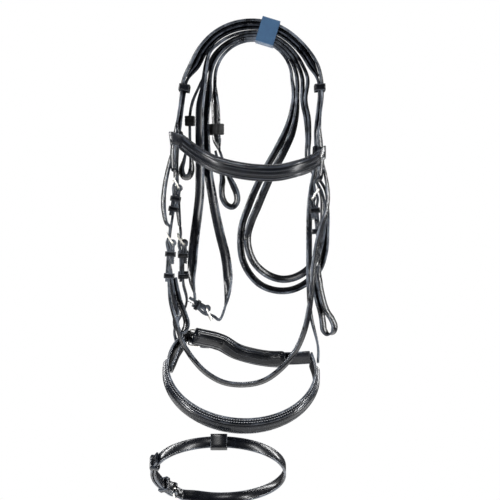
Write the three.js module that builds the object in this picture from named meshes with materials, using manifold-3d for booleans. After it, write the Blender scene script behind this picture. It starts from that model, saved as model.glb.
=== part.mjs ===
// Snaffle bridle hung from its crown: headpiece, browband, cheekpieces, throatlash, noseband with flash, reins.
// Millimetres. +Z up, -Y towards the horse's forehead, +X across the head.
// The origin is the underside of the crown bundle, where a bracket carries the bridle.
import * as THREE from "three";
import { mergeVertices } from "three/addons/utils/BufferGeometryUtils.js";
import Module from "manifold-3d";

const wasm = await Module();
wasm.setup();

// Driving dimensions
const BRACKET_R = 50;
const LEATHER = 3.2;
const GAP = 0.4;
const REIN = { wide: 15, thick: 3.6 };
const CROWN = { wide: 34, thick: 3.4 };
const CHEEK_WIDE = 15;
const THROAT_WIDE = 12;
const NOSE_STRAP_WIDE = 14;
const FLASH_WIDE = 16;
const CHIN_WIDE = 18;
const POLL_PAD = { wide: 30, thick: 7.5 };
const CHAPE_THICK = 3;
const TONGUE_WIDE = 15;
const BAR = 2.6; // width of a buckle frame's bars
const FRAME_THICK = 2.4;
const FRAME_LONG = 15; // heel bar to front bar, centre to centre
const FRAME_TILT = THREE.MathUtils.degToRad(36);
const KEEPER = { long: 7, thick: 1.6 };
const NOSE_RING = { centre: [-16.5, 2, -446], r: 100.5, tilt: 41, roll: 4, wide: 28 };
const FLASH_RING = { near: [-45.5, -72, -532.4], r: 88, tilt: 32 };

const material = (color, roughness, metalness = 0) =>
  new THREE.MeshStandardMaterial({ color, roughness, metalness });
const BLACK_LEATHER = material(0x15171b, 0.4);
const PADDED_LEATHER = material(0x1a1d24, 0.5);
const STEEL = material(0xc9c7c0, 0.25, 1);
const RUBBER = material(0x101012, 0.8);
const WOVEN_BLUE = material(0x2f6ea3, 0.9);

const bridle = new THREE.Group();

function add(name, geometry, look) {
  const mesh = new THREE.Mesh(geometry, look);
  mesh.name = name;
  bridle.add(mesh);
  return mesh;
}

// --- Joining and cutting ---

function toSolid(geometry) {
  const bare = new THREE.BufferGeometry();
  const loose = geometry.index ? geometry.toNonIndexed() : geometry;
  bare.setAttribute("position", loose.getAttribute("position"));
  const merged = mergeVertices(bare, 1e-4);
  return new wasm.Manifold(
    new wasm.Mesh({
      numProp: 3,
      vertProperties: merged.attributes.position.array,
      triVerts: new Uint32Array(merged.index.array),
    }),
  );
}

function toGeometry(solid) {
  const mesh = solid.getMesh();
  const geometry = new THREE.BufferGeometry();
  geometry.setAttribute("position", new THREE.BufferAttribute(mesh.vertProperties, 3));
  geometry.setIndex(new THREE.BufferAttribute(mesh.triVerts, 1));
  return geometry;
}

const joined = (...parts) => toGeometry(parts.map(toSolid).reduce((a, b) => a.add(b)));
const cut = (whole, ...tools) =>
  toGeometry(tools.map(toSolid).reduce((a, b) => a.subtract(b), toSolid(whole)));

// --- Straps ---

const TURN_PER_STEP = THREE.MathUtils.degToRad(16);
const LONGEST_STEP = 30;

// A smooth route whose width direction is given, so a flat strap doesn't twist by itself.
class StrapPath extends THREE.Curve {
  constructor(route, across, lean) {
    super();
    const line = new THREE.CatmullRomCurve3(
      route.map((p) => new THREE.Vector3(...p)),
      false,
      "centripetal",
    );
    const last = route.length - 1;
    this.rows = [];
    for (let i = 0; i < last; i++) {
      const turn = line.getTangent(i / last).angleTo(line.getTangent((i + 1) / last));
      const long = line.points[i].distanceTo(line.points[i + 1]);
      const steps = Math.max(1, Math.ceil(turn / TURN_PER_STEP), Math.ceil(long / LONGEST_STEP));
      for (let k = 0; k < steps; k++) this.addRow(line, across, lean, i + k / steps);
    }
    this.addRow(line, across, lean, last);
  }

  addRow(line, across, lean, at) {
    const t = at / (line.points.length - 1);
    const tangent = line.getTangent(t);
    const wide = across(t);
    wide.addScaledVector(tangent, -wide.dot(tangent)).normalize();
    wide.applyAxisAngle(tangent, -lean(at));
    this.rows.push({ place: line.getPoint(t), tangent, wide });
  }

  getSpacedPoints() {
    return this.rows.map((row) => row.place);
  }

  computeFrenetFrames() {
    return {
      tangents: this.rows.map((row) => row.tangent),
      normals: this.rows.map((row) => row.wide.clone().cross(row.tangent)),
      binormals: this.rows.map((row) => row.wide),
    };
  }
}

// Width directions given at even steps along a route, blended between.
function acrossOf(given) {
  if (!Array.isArray(given[0])) return () => new THREE.Vector3(...given);
  const keys = given.map((v) => new THREE.Vector3(...v));
  return (t) => {
    const at = t * (keys.length - 1);
    const i = Math.min(Math.floor(at), keys.length - 2);
    return keys[i].clone().lerp(keys[i + 1], at - i);
  };
}

// How far a strap leans about its own run, in degrees at some of its route's points and blended between.
function leanOf(given) {
  return (at) => {
    const next = given.findIndex(([point]) => point >= at);
    if (next <= 0) return THREE.MathUtils.degToRad(given.at(next)[1]);
    const [[from, a], [to, b]] = [given[next - 1], given[next]];
    return THREE.MathUtils.degToRad(a + ((b - a) * (at - from)) / (to - from));
  };
}

const UPRIGHT = [[0, 0]];

function flatSection(thick, wide) {
  return new THREE.Shape([
    new THREE.Vector2(-thick / 2, -wide / 2),
    new THREE.Vector2(thick / 2, -wide / 2),
    new THREE.Vector2(thick / 2, wide / 2),
    new THREE.Vector2(-thick / 2, wide / 2),
  ]);
}

// A padded section is flat on its back and crowned on its face (+x).
function paddedSection(thick, wide) {
  const shape = new THREE.Shape();
  shape.moveTo(-thick / 2, -wide / 2);
  shape.lineTo(0, -wide / 2);
  shape.quadraticCurveTo(thick / 2, -wide / 2, thick / 2, -wide / 4);
  shape.lineTo(thick / 2, wide / 4);
  shape.quadraticCurveTo(thick / 2, wide / 2, 0, wide / 2);
  shape.lineTo(-thick / 2, wide / 2);
  shape.closePath();
  return shape;
}

const Y_ACROSS = [0, 1, 0];

function strap(route, thick, wide, across = Y_ACROSS, section = flatSection, lean = UPRIGHT) {
  const path = new StrapPath(route, acrossOf(across), leanOf(lean));
  return new THREE.ExtrudeGeometry(section(thick, wide), {
    steps: path.rows.length - 1,
    bevelEnabled: false,
    curveSegments: 2,
    extrudePath: path,
  });
}

// The same route moved sideways along the strap's face normal, by one distance or one for each point.
function beside(route, distances, across = Y_ACROSS) {
  const wide = acrossOf(across);
  const places = route.map((p) => new THREE.Vector3(...p));
  return places.map((place, i) => {
    const before = places[Math.max(i - 1, 0)];
    const after = places[Math.min(i + 1, places.length - 1)];
    const tangent = after.clone().sub(before).normalize();
    const normal = wide(i / (places.length - 1)).cross(tangent).normalize();
    const d = Array.isArray(distances) ? distances[i] : distances;
    return place.clone().addScaledVector(normal, d).toArray();
  });
}

// --- Stations: a buckle's own axes ---

// o is the heel bar's centre, u runs up the strap towards the incoming billet, n out of its face.
function station(o, u, n) {
  const up = new THREE.Vector3(...u).normalize();
  const out = new THREE.Vector3(...n);
  out.addScaledVector(up, -out.dot(up)).normalize();
  const wide = up.clone().cross(out);
  const origin = new THREE.Vector3(...o);
  const at = (a, b, c = 0) =>
    origin
      .clone()
      .addScaledVector(up, a)
      .addScaledVector(out, b)
      .addScaledVector(wide, c)
      .toArray();
  return { origin, up, out, wide, at, across: wide.toArray() };
}

// A shape drawn in the plane of axes x and y, extruded along z from z0 to z1.
function slab(shape, place, x, y, z0, z1, bevel = 0) {
  const geometry = new THREE.ExtrudeGeometry(shape, {
    depth: z1 - z0 - 2 * bevel,
    bevelEnabled: bevel > 0,
    bevelThickness: bevel,
    bevelSize: bevel,
    bevelOffset: -bevel,
    bevelSegments: 1,
    curveSegments: 3,
  });
  const z = x.clone().cross(y);
  geometry.translate(0, 0, z0 + bevel);
  geometry.applyMatrix4(new THREE.Matrix4().makeBasis(x, y, z).setPosition(place));
  return geometry;
}

function roundedBox(shape, x0, y0, x1, y1, r) {
  shape.moveTo(x0 + r, y0);
  shape.lineTo(x1 - r, y0);
  shape.quadraticCurveTo(x1, y0, x1, y0 + r);
  shape.lineTo(x1, y1 - r);
  shape.quadraticCurveTo(x1, y1, x1 - r, y1);
  shape.lineTo(x0 + r, y1);
  shape.quadraticCurveTo(x0, y1, x0, y1 - r);
  shape.lineTo(x0, y0 + r);
  shape.quadraticCurveTo(x0, y0, x0 + r, y0);
  return shape;
}

function box(at, u0, u1, n0, n1, w0, w1) {
  const shape = new THREE.Shape();
  shape.moveTo(u0, n0);
  shape.lineTo(u1, n0);
  shape.lineTo(u1, n1);
  shape.lineTo(u0, n1);
  return slab(shape, at.origin, at.up, at.out, w0, w1);
}

// --- Buckle pieces, all in a station's axes ---

const FOLD_R = BAR / 2 + 0.9 + CHAPE_THICK / 2;
const LAYER = CHAPE_THICK / 2 + GAP / 2; // centre of each of the chape's two layers
const BILLET_N = LAYER + CHAPE_THICK / 2 + GAP + LEATHER / 2; // billet lying on the chape
const OVER_HEEL_N = FOLD_R + CHAPE_THICK / 2 + GAP + LEATHER / 2;
const TURN_BACK = 28;

// Chape: from the sewn end of the turn-back, round the heel bar, to the strap's face side.
function chapeFold(at) {
  const bend = [150, 100, 50, 0, -50, -100, -150].map((degrees) => {
    const a = THREE.MathUtils.degToRad(degrees);
    return at.at(FOLD_R * Math.cos(a) * 0.98, -FOLD_R * Math.sin(a));
  });
  return [at.at(-TURN_BACK, -LAYER), at.at(-9, -LAYER), ...bend, at.at(-9, LAYER), at.at(-16, LAYER)];
}

function chapeSlot(at) {
  return box(at, -5.5, 9, -8, 8, -2.4, 2.4);
}

function billetThrough(at, tail) {
  return [
    at.at(22, 5.2),
    at.at(14, 4.6),
    at.at(9, 5),
    at.at(2.5, OVER_HEEL_N),
    at.at(-2.5, OVER_HEEL_N),
    at.at(-9, BILLET_N + 0.3),
    at.at(-14, BILLET_N),
    at.at(-tail, BILLET_N),
  ];
}

function billetHole(at) {
  return box(at, 1.5, 13, 0.5, 12, -1.9, 1.9);
}

function buckleFrame(name, at, wide) {
  const inside = wide / 2 + 0.6;
  const outline = roundedBox(
    new THREE.Shape(),
    -inside - BAR,
    -BAR / 2,
    inside + BAR,
    FRAME_LONG + BAR / 2,
    3,
  );
  outline.holes.push(
    roundedBox(new THREE.Path(), -inside, BAR / 2, inside, FRAME_LONG - BAR / 2, 1.2),
  );
  const along = at.up
    .clone()
    .multiplyScalar(Math.cos(FRAME_TILT))
    .addScaledVector(at.out, Math.sin(FRAME_TILT));
  add(
    name,
    slab(outline, at.origin, at.wide, along, -FRAME_THICK / 2, FRAME_THICK / 2, 0.5),
    STEEL,
  );
}

function prong(name, at) {
  const ringR = BAR / 2 + 0.35;
  const eye = new THREE.Shape();
  const lift = FRAME_TILT;
  const along = (f, g) => [
    f * Math.cos(lift) - g * Math.sin(lift),
    f * Math.sin(lift) + g * Math.cos(lift),
  ];
  const low = FRAME_THICK / 2 + 0.35;
  const outer = ringR + 1.3;
  eye.moveTo(...along(2, outer + 0.1));
  eye.absarc(0, 0, outer, lift + Math.PI * 0.5, lift + Math.PI * 1.85, false);
  eye.lineTo(...along(outer + 0.6, low));
  eye.lineTo(...along(FRAME_LONG + BAR / 2 + 0.6, low));
  eye.lineTo(...along(FRAME_LONG + BAR / 2 + 0.6, low + 1.1));
  eye.lineTo(...along(6, low + 1.7));
  eye.closePath();
  const bore = new THREE.Path();
  bore.absarc(0, 0, ringR, 0, Math.PI * 2, true);
  eye.holes.push(bore);
  add(name, slab(eye, at.origin, at.up, at.out, -1.4, 1.4), STEEL);
}

function keeper(name, at, u, n0, n1, wide, long = KEEPER.long) {
  const side = wide / 2 + 0.5;
  const t = KEEPER.thick;
  const outline = roundedBox(new THREE.Shape(), n0 - t, -side - t, n1 + t, side + t, 1.2);
  outline.holes.push(roundedBox(new THREE.Path(), n0, -side, n1, side, 0.4));
  add(
    name,
    slab(outline, new THREE.Vector3(...at.at(u, 0)), at.out, at.wide, -long / 2, long / 2),
    BLACK_LEATHER,
  );
}

const UNDER_TURN_BACK = -(LAYER + CHAPE_THICK / 2 + GAP);
const OVER_BILLET = BILLET_N + LEATHER / 2 + GAP;

// Frame, prong, sewn keeper and sliding runner of one buckle.
function buckleSet(prefix, suffix, at, wide, keeperU, runnerU) {
  buckleFrame(`${prefix}_buckle${suffix}`, at, wide);
  prong(`${prefix}_prong${suffix}`, at);
  keeper(`${prefix}_keeper${suffix}`, at, keeperU, UNDER_TURN_BACK, OVER_BILLET, wide);
  keeper(`${prefix}_runner${suffix}`, at, runnerU, UNDER_TURN_BACK, OVER_BILLET, wide);
}

// A stud stands on the inside of the main strap; its neck passes the slot in the return strap beside it.
const studStation = ({ place, towards, along }) => station(place, along, towards);

function hookStud(name, stud) {
  const at = studStation(stud);
  const reach = stud.reach;
  const shape = new THREE.Shape();
  shape.moveTo(-4, 0);
  shape.lineTo(4, 0);
  shape.lineTo(4, 0.8);
  shape.lineTo(1.2, 0.8);
  shape.lineTo(1.2, reach);
  shape.lineTo(4.5, reach);
  shape.lineTo(4.5, reach + 1.4);
  shape.lineTo(-1.2, reach + 1.4);
  shape.lineTo(-1.2, 0.8);
  shape.lineTo(-4, 0.8);
  add(name, slab(shape, at.origin, at.up, at.out, -2, 2), STEEL);
}

const studSlot = (stud) => box(studStation(stud), -2, 5.5, 1, stud.reach + 3, -2.6, 2.6);

// --- Crown: reins, headstrap, pad and headpiece stacked on the bracket ---

const PITCH = REIN.thick + 0.5;
const reinR = (layer) => BRACKET_R + 0.1 + REIN.thick / 2 + layer * PITCH;

// Points on an arc about the bracket's axis, from one angle to another (degrees, 0 at +X), y drifting evenly.
function arc(r, from, to, y0 = 0, y1 = 0, spread = 0) {
  const count = Math.round(Math.abs(to - from) / 15);
  return Array.from({ length: count + 1 }, (_, i) => {
    const a = THREE.MathUtils.degToRad(from + ((to - from) * i) / count);
    const y = y0 + ((y1 - y0) * i) / count;
    const out = r + spread * (1 - Math.sin(a)) ** (Math.cos(a) < 0 ? 1 : 2);
    return [out * Math.cos(a), y, out * Math.sin(a) - BRACKET_R];
  });
}

// A rein's turn over the crown: the layers touch at the top and fan apart down each side, sooner on the left.
const FAN = 3;
const reinArc = (layer, from, to, y0, y1) => arc(reinR(layer), from, to, y0, y1, layer * FAN);

// Headpiece centre line, from its left split to its right split.
const CROWN_LINE = [
  [-104, 0, -118],
  [-100.5, 0, -93],
  [-97.5, 0, -71],
  [-94.2, 0, -50],
  [-85, 0, -29],
  [-72.5, 0, -6],
  [-53.5, 0, 13.7],
  [-28, 0, 26.2],
  [0, 0, 29.9],
  [28, 0, 24.8],
  [49.5, 0, 13.6],
  [72, 0, -7.5],
  [86, 0, -29],
  [91.5, 0, -50],
  [92.8, 0, -71],
  [90.8, 0, -93],
  [88.6, 0, -118],
];
const TONGUE_Y = 9.3;
const LEFT_CHEEK_TONGUE = [
  [-101.5, -TONGUE_Y, -100],
  [-104, -TONGUE_Y, -118],
  [-107, -TONGUE_Y, -137],
  [-108.2, -8.5, -152],
  [-107.8, -8, -165],
];
const LEFT_THROAT_TONGUE = [
  [-101.5, TONGUE_Y, -100],
  [-104, TONGUE_Y, -118],
  [-107.2, TONGUE_Y, -138],
  [-114, 4, -165],
  [-119.5, -8, -195],
  [-120.5, -22, -222],
  [-116.5, -30, -243],
];
const RIGHT_CHEEK_TONGUE = [
  [90.2, -TONGUE_Y, -100],
  [88.6, -TONGUE_Y, -118],
  [89, -TONGUE_Y, -134],
  [90.5, -TONGUE_Y, -150],
  [91, -8.5, -163],
  [90, -8, -175],
];
const RIGHT_THROAT_TONGUE = [
  [90.2, TONGUE_Y, -100],
  [88.6, TONGUE_Y, -118],
  [89, TONGUE_Y, -134],
  [90.7, TONGUE_Y, -151],
  [97, 3, -178],
  [100, -10, -203],
  [97.5, -24, -228],
  [91.5, -30, -245],
];

add(
  "headpiece",
  joined(
    strap(CROWN_LINE, CROWN.thick, CROWN.wide),
    strap(LEFT_CHEEK_TONGUE, CROWN.thick - 0.2, TONGUE_WIDE),
    strap(LEFT_THROAT_TONGUE, CROWN.thick - 0.2, THROAT_WIDE),
    strap(RIGHT_CHEEK_TONGUE, CROWN.thick - 0.2, TONGUE_WIDE),
    strap(RIGHT_THROAT_TONGUE, CROWN.thick - 0.2, THROAT_WIDE),
  ),
  BLACK_LEATHER,
);

const PAD_INSET = CROWN.thick / 2 + GAP + POLL_PAD.thick / 2;
add(
  "poll_pad",
  strap(beside(CROWN_LINE.slice(4, 13), PAD_INSET), POLL_PAD.thick, POLL_PAD.wide),
  PADDED_LEATHER,
);

// The noseband's headstrap lies inside the pad over the crown and against the headpiece below it.
const UNDER_PAD = PAD_INSET + POLL_PAD.thick / 2 + GAP + LEATHER / 2;
const UNDER_CROWN = CROWN.thick / 2 + GAP + LEATHER / 2;
const PAD_STARTS = 4;
const PAD_ENDS = CROWN_LINE.length - 1 - PAD_STARTS;
const headstrapInset = CROWN_LINE.map((_, i) => {
  const beyond = Math.max(PAD_STARTS - i, i - PAD_ENDS, 0);
  return Math.max(UNDER_PAD - 6.8 * beyond, UNDER_CROWN + 0.2);
});
const HEADSTRAP_LANE = 11;
const headstrapTop = beside(CROWN_LINE, headstrapInset);
add(
  "noseband_headstrap",
  strap(
    [
      [-100.5, HEADSTRAP_LANE, -243],
      [-103, HEADSTRAP_LANE, -215],
      [-104.8, HEADSTRAP_LANE, -185],
      [-105, 7, -160],
      [-102.9, 2, -136],
      ...headstrapTop,
      [85.2, 0, -134],
      [86.6, 3, -152],
      [84, 8, -172],
      [78.5, HEADSTRAP_LANE, -200],
      [76, HEADSTRAP_LANE, -225],
      [75.5, HEADSTRAP_LANE, -243],
    ],
    LEATHER,
    NOSE_STRAP_WIDE,
  ),
  BLACK_LEATHER,
);

// Two small loops hold the headstrap to the headpiece.
function crownLoop(name, place, along, out, n0, n1) {
  keeper(name, station(place, along, out), 0, n0, n1, CROWN.wide, 9);
}
crownLoop("headpiece_loop_left", [-96.2, 0, -62], [3.2, 0, 21], [-1, 0, 0], -8.8, 2.6);
crownLoop("headpiece_loop_right", [92.6, 0, -62], [-1, 0, 21], [1, 0, 0], -8.8, 2.6);

// Blue woven band round the whole bundle.
const BUNDLE_IN = BRACKET_R - 0.4;
const BUNDLE_OUT = 82.6;
const labelSection = () => {
  const half = (BUNDLE_OUT - BUNDLE_IN) / 2;
  const side = CROWN.wide / 2 + 0.5;
  const outline = roundedBox(new THREE.Shape(), -half - 0.8, -side - 0.8, half + 0.8, side + 0.8, 2);
  outline.holes.push(roundedBox(new THREE.Path(), -half, -side, half, side, 1.2));
  return outline;
};
add(
  "label_band",
  strap(arc((BUNDLE_IN + BUNDLE_OUT) / 2, 81, 65), 0, 0, Y_ACROSS, labelSection),
  WOVEN_BLUE,
);

// --- Reins ---

// Right rein: billet end on the left, over the crown, round the outer right loop, back over, to the centre buckle.
const REIN_END_A = [
  [-51.5, 0, -147],
  [-48.5, 0, -158],
  [-44, 0, -172],
  [-41.8, 0, -186],
  [-42.8, 0, -197],
  [-41.8, 0, -210],
  [-36, 0, -220],
  [-28, 0, -222.5],
  [-22.5, 0, -216],
  [-22.5, 0, -206],
  [-27, 0, -194],
  [-33, 0, -182],
  [-38, 0, -170],
  [-42, 0, -157],
  [-46.5, 0, -144],
  [-50, 0, -128],
  [-50.5, 0, -105],
  [-51.8, 0, -75],
];
const STUD_A = { place: [-43.4, 0, -158.5], towards: [-1, 0, -0.3], along: [-0.3, 0, 1], reach: 6.7 };
const OUTER_LOOP = [
  [54.8, 0, -72],
  [52.5, -2, -95],
  [45, -4, -118],
  [33, -5, -142],
  [18, -5, -169],
  [4, -5, -196],
  [-7, -5, -223],
  [-15, -5, -246],
  [-17.5, -4, -270],
  [-14.5, -2, -294],
  [-5, 1, -313],
  [10, 8, -328],
  [30, 16, -335.5],
  [52, 25, -335],
  [73, 32, -325],
  [89, 31, -308],
  [97, 28, -284],
  [100, 26, -255],
  [101, 25, -225],
  [98, 25, -199],
  [86, 25, -178],
  [76.4, 18, -155],
  [76, 9, -128],
  [75, 2, -103],
  [70.5, 0, -78],
];
const CENTRE_BUCKLE = station([-63, 0, -360], [0.88, 0, -0.48], [-0.48, 0, -0.88]);
const RIGHT_REIN_DOWN = [
  [-68, -8.5, -65],
  [-71.5, -8.5, -85],
  [-72.4, -8, -105],
  [-72.2, -7, -140],
  [-72.2, -5, -175],
  [-72.6, -3, -205],
  [-75.6, -1, -234],
  [-79.7, 0, -266],
  [-82.5, 0, -298],
  [-83, 0, -322],
  [-79.5, 0, -340],
];
const chapeOf = (at, upTo) => [...upTo, ...chapeFold(at).reverse()];

// The reins lean between their buckle, studs and stops, and over the crown their outer faces turn forwards.
const MIDDLE_LEAN = 6;
const OUTSIDE_LEAN = 4;
const INSIDE_LEAN = 1;
const STOP_LEAN = -42;
const RIGHT_REIN_LEAN = [
  [1, 0],
  [3, -20],
  [10, -25],
  [12.5, 0],
  [13.9, 0],
  [14.7, STOP_LEAN],
  [16.6, STOP_LEAN],
  [17.6, -INSIDE_LEAN],
  [30, -INSIDE_LEAN],
  [32, -28],
  [47, -28],
  [49.5, 0],
  [52, 0],
  [53, OUTSIDE_LEAN],
  [66, OUTSIDE_LEAN],
  [68, 42],
  [75, 55],
  [77, 0],
];
const LEFT_REIN_LEAN = [
  [1, 0],
  [3, 22],
  [6, 22],
  [8, 0],
  [11, 0],
  [14, -MIDDLE_LEAN],
  [26, -MIDDLE_LEAN],
  [28, 0],
  [29.5, 0],
  [31, 26],
  [35, 32],
  [46, 32],
  [48, MIDDLE_LEAN],
  [61, MIDDLE_LEAN],
  [63, 42],
  [70, 55],
  [72, 0],
];
add(
  "rein_right",
  cut(
    strap(
      [
        ...REIN_END_A,
        ...reinArc(0, 180, 0),
        ...OUTER_LOOP,
        ...reinArc(3, 0, 90),
        ...reinArc(3, 105, 150, -1.5, -7.5),
        ...chapeOf(CENTRE_BUCKLE, RIGHT_REIN_DOWN),
      ],
      CHAPE_THICK,
      REIN.wide,
      Y_ACROSS,
      flatSection,
      RIGHT_REIN_LEAN,
    ),
    chapeSlot(CENTRE_BUCKLE),
    studSlot(STUD_A),
  ),
  BLACK_LEATHER,
);

const REIN_END_B = [
  [-90.6, 9, -128],
  [-91.6, 9, -147],
  [-94.6, 9, -161],
  [-97.5, 9, -172],
  [-94, 9, -181.5],
  [-88, 9, -181.5],
  [-84, 9, -173],
  [-84, 9, -160],
  [-85.6, 9, -142],
  [-86.2, 9, -120],
  [-86, 9, -98],
  [-82.5, 9, -80],
  [-74, 9, -60],
  [-64, 9, -40],
];
const STUD_B = { place: [-87.2, 9, -146], towards: [-1, 0, 0], along: [0, 0, 1], reach: 6.8 };
const INNER_LOOP = [
  [66, 0, -80],
  [70.6, 2, -104],
  [72.4, 9, -129],
  [72, 18, -155],
  [82.5, 25, -180],
  [92.5, 25, -203],
  [95.6, 24, -228],
  [94, 26, -255],
  [89, 28, -280],
  [79, 29.5, -302],
  [61, 25, -316],
  [40, 17, -320.5],
  [19, 9, -314],
  [2, 2, -299],
  [-6.5, -2, -280],
  [-8, -4, -262],
  [-3, -5, -243],
  [6, -5, -222],
  [13, -5, -205],
  [25, -5, -178],
  [40, -5, -150],
  [51.5, -4, -124],
  [57.5, -2, -98],
  [59.2, 0, -74],
];
const LEFT_REIN_DOWN = [
  [-60.5, 0, -72],
  [-65, 0, -98],
  [-64.4, 0, -136],
  [-60.6, 0, -178],
  [-56.4, 0, -203],
  [-50.8, 0, -234],
  [-44.5, 0, -262],
  [-38, 0, -288],
  [-34.6, 0, -315],
  [-35, 0, -338],
  [-38, 0, -356],
];
add(
  "rein_left",
  cut(
    strap(
      [
        ...REIN_END_B,
        ...reinArc(2, 150, 105, 8.5, 1.5),
        ...reinArc(2, 90, 0),
        ...INNER_LOOP,
        ...reinArc(1, 0, 180),
        ...LEFT_REIN_DOWN,
        ...billetThrough(CENTRE_BUCKLE, 20),
      ],
      CHAPE_THICK,
      REIN.wide,
      Y_ACROSS,
      flatSection,
      LEFT_REIN_LEAN,
    ),
    billetHole(CENTRE_BUCKLE),
    studSlot(STUD_B),
  ),
  BLACK_LEATHER,
);
buckleFrame("rein_buckle", CENTRE_BUCKLE, REIN.wide);
prong("rein_prong", CENTRE_BUCKLE);
keeper("rein_keeper", CENTRE_BUCKLE, -13.5, UNDER_TURN_BACK, OVER_BILLET, REIN.wide, 5);

hookStud("rein_hook_stud_right", STUD_A);
hookStud("rein_hook_stud_left", STUD_B);

// Leather stops that slide on the reins.
function reinStop(name, place, long, lean) {
  const a = THREE.MathUtils.degToRad(lean);
  const at = station(place, [0, 0, 1], [-Math.cos(a), Math.sin(a), 0]);
  const outline = roundedBox(new THREE.Shape(), -6.8, -11, 6.8, 11, 2);
  outline.holes.push(roundedBox(new THREE.Path(), -2.6, -8, 2.6, 8, 0.5));
  add(name, slab(outline, at.origin, at.out, at.wide, -long / 2, long / 2), RUBBER);
}
reinStop("rein_stop_right", [-50.4, 0, -118], 15, STOP_LEAN);
reinStop("rein_stop_left", [-86.1, 9, -106], 13, 0);

// --- Browband ---

const BROWBAND = { wide: 17, thick: 2.4 };
const BROWBAND_FRONT = [
  [-110.9, -20, -130.5],
  [-105.5, -28, -132],
  [-93, -38, -137.5],
  [-77, -55, -150.5],
  [-61, -68.5, -161.5],
  [-43, -78.5, -170],
  [-21, -85.5, -176],
  [4, -88, -179.5],
  [30, -84.5, -179.5],
  [52, -73.5, -174.5],
  [70, -58, -168],
  [84, -41, -159],
  [92, -29, -152],
];
const BROWBAND_ACROSS = [
  [-0.18, 0, 1],
  [-0.18, -0.1, 1],
  [-0.1, -0.2, 1],
  [0, -0.25, 1],
  [0, -0.25, 1],
  [0, -0.2, 1],
  [0.05, -0.1, 1],
  [0, 0, 1],
];
add(
  "browband",
  strap(
    [
      [-98.4, -25, -130],
      [-95.9, -14, -129.6],
      [-95.9, 0, -129.6],
      [-95.9, 15.5, -129.6],
      [-98.6, 19, -130],
      [-105, 20, -131],
      [-109.5, 19, -131.7],
      [-111.8, 15.5, -132],
      [-111.8, 0, -132],
      [-111.6, -14, -131],
      ...BROWBAND_FRONT,
      [95.4, -20, -149.5],
      [96, -8, -149.5],
      [96, 5, -149.5],
      [96, 15.5, -149.5],
      [93.5, 19, -149.5],
      [88.7, 20, -149.5],
      [84, 19, -149.5],
      [81.6, 15.5, -149.5],
      [81.6, 0, -149.5],
      [81.6, -14, -149.5],
      [83.4, -27, -150],
    ],
    BROWBAND.thick,
    BROWBAND.wide,
    BROWBAND_ACROSS,
  ),
  BLACK_LEATHER,
);
// Taken from right to left, so that the crowned face of the padding looks forwards.
const browPadLine = BROWBAND_FRONT.slice(2, -1).reverse();
const BROW_PAD = { wide: 22.5, thick: 5 };
add(
  "browband_padding",
  strap(
    beside(browPadLine, BROWBAND.thick / 2 + GAP + BROW_PAD.thick / 2 + 0.4, [0, -0.2, 1]),
    BROW_PAD.thick,
    BROW_PAD.wide,
    [0, -0.2, 1],
    paddedSection,
  ),
  PADDED_LEATHER,
);

// --- Cheekpieces ---

// flatTo is how many of the route's points still face as the buckle does; from there the strap turns
// its face forwards.
function cheek(suffix, at, billetStart, route, flatTo, stud, tail, keeperU, runnerU) {
  const forwards = new THREE.Vector3(0, -0.5, 0).addScaledVector(at.out, 0.866);
  const turned = forwards.clone().cross(at.up).negate().normalize().toArray();
  const points = [...chapeFold(at), ...route];
  const keys = points.map((_, i) => (i < points.length - route.length + flatTo ? at.across : turned));
  add(
    `cheekpiece${suffix}`,
    cut(strap(points, CHAPE_THICK, CHEEK_WIDE, keys), chapeSlot(at), studSlot(stud)),
    BLACK_LEATHER,
  );
  add(
    `cheek_billet${suffix}`,
    cut(
      strap([...billetStart, ...billetThrough(at, tail)], LEATHER, CHEEK_WIDE, at.across),
      billetHole(at),
    ),
    BLACK_LEATHER,
  );
  buckleSet("cheek", suffix, at, CHEEK_WIDE, keeperU, runnerU);
  hookStud(`cheek_hook_stud${suffix}`, stud);
}

const LEFT_CHEEK = station([-100.5, -8, -197.5], [0.17, 0, 0.985], [-1, 0, 0.17]);
cheek(
  "_left",
  LEFT_CHEEK,
  [
    [-107.7, -8, -166.4],
    [-106.8, -8, -172],
  ],
  [
    LEFT_CHEEK.at(-40, LAYER),
    [-112, -8, -257],
    [-114.2, -8, -283],
    [-113.4, -8, -309],
    [-110.6, -8, -331],
    [-106, -8, -352],
    [-103.4, -8, -366],
    [-104.4, -8, -378],
    [-102.4, -8, -387],
    [-97, -8, -391],
    [-91.8, -8, -387],
    [-90, -8, -378],
    [-93.4, -8, -366],
    [-99.6, -8, -350],
    [-104.6, -8, -331],
    [-107, -8, -318],
  ],
  3,
  { place: [-107.2, -7, -338], towards: [0.866, 0.5, 0], along: [-0.2, 0, 1], reach: 5.6 },
  38,
  -15,
  -29,
);

const RIGHT_CHEEK = station([79, -8, -212], [-0.1, 0, 0.995], [1, 0, 0.1]);
cheek(
  "_right",
  RIGHT_CHEEK,
  [
    [89.9, -8, -176.4],
    [88.6, -8, -184],
  ],
  [
    RIGHT_CHEEK.at(-34, LAYER),
    RIGHT_CHEEK.at(-64, LAYER),
    [88.2, -8, -296],
    [88.4, -8, -322],
    [92.5, -8, -345],
    [98, -8, -362],
    [105.5, -8, -374],
    [109, -8, -384],
    [106.6, -8, -392],
    [100.5, -8, -394],
    [95, -8, -389],
    [93.4, -8, -379],
    [91.4, -8, -366],
    [86.6, -8, -348],
    [82.8, -8, -325],
    [81.6, -8, -306],
  ],
  3,
  { place: [87, -7, -326], towards: [-0.866, 0.5, 0], along: [-0.1, 0, 1], reach: 5.6 },
  60,
  -16,
  -44,
);

// --- Throatlash ---

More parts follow.
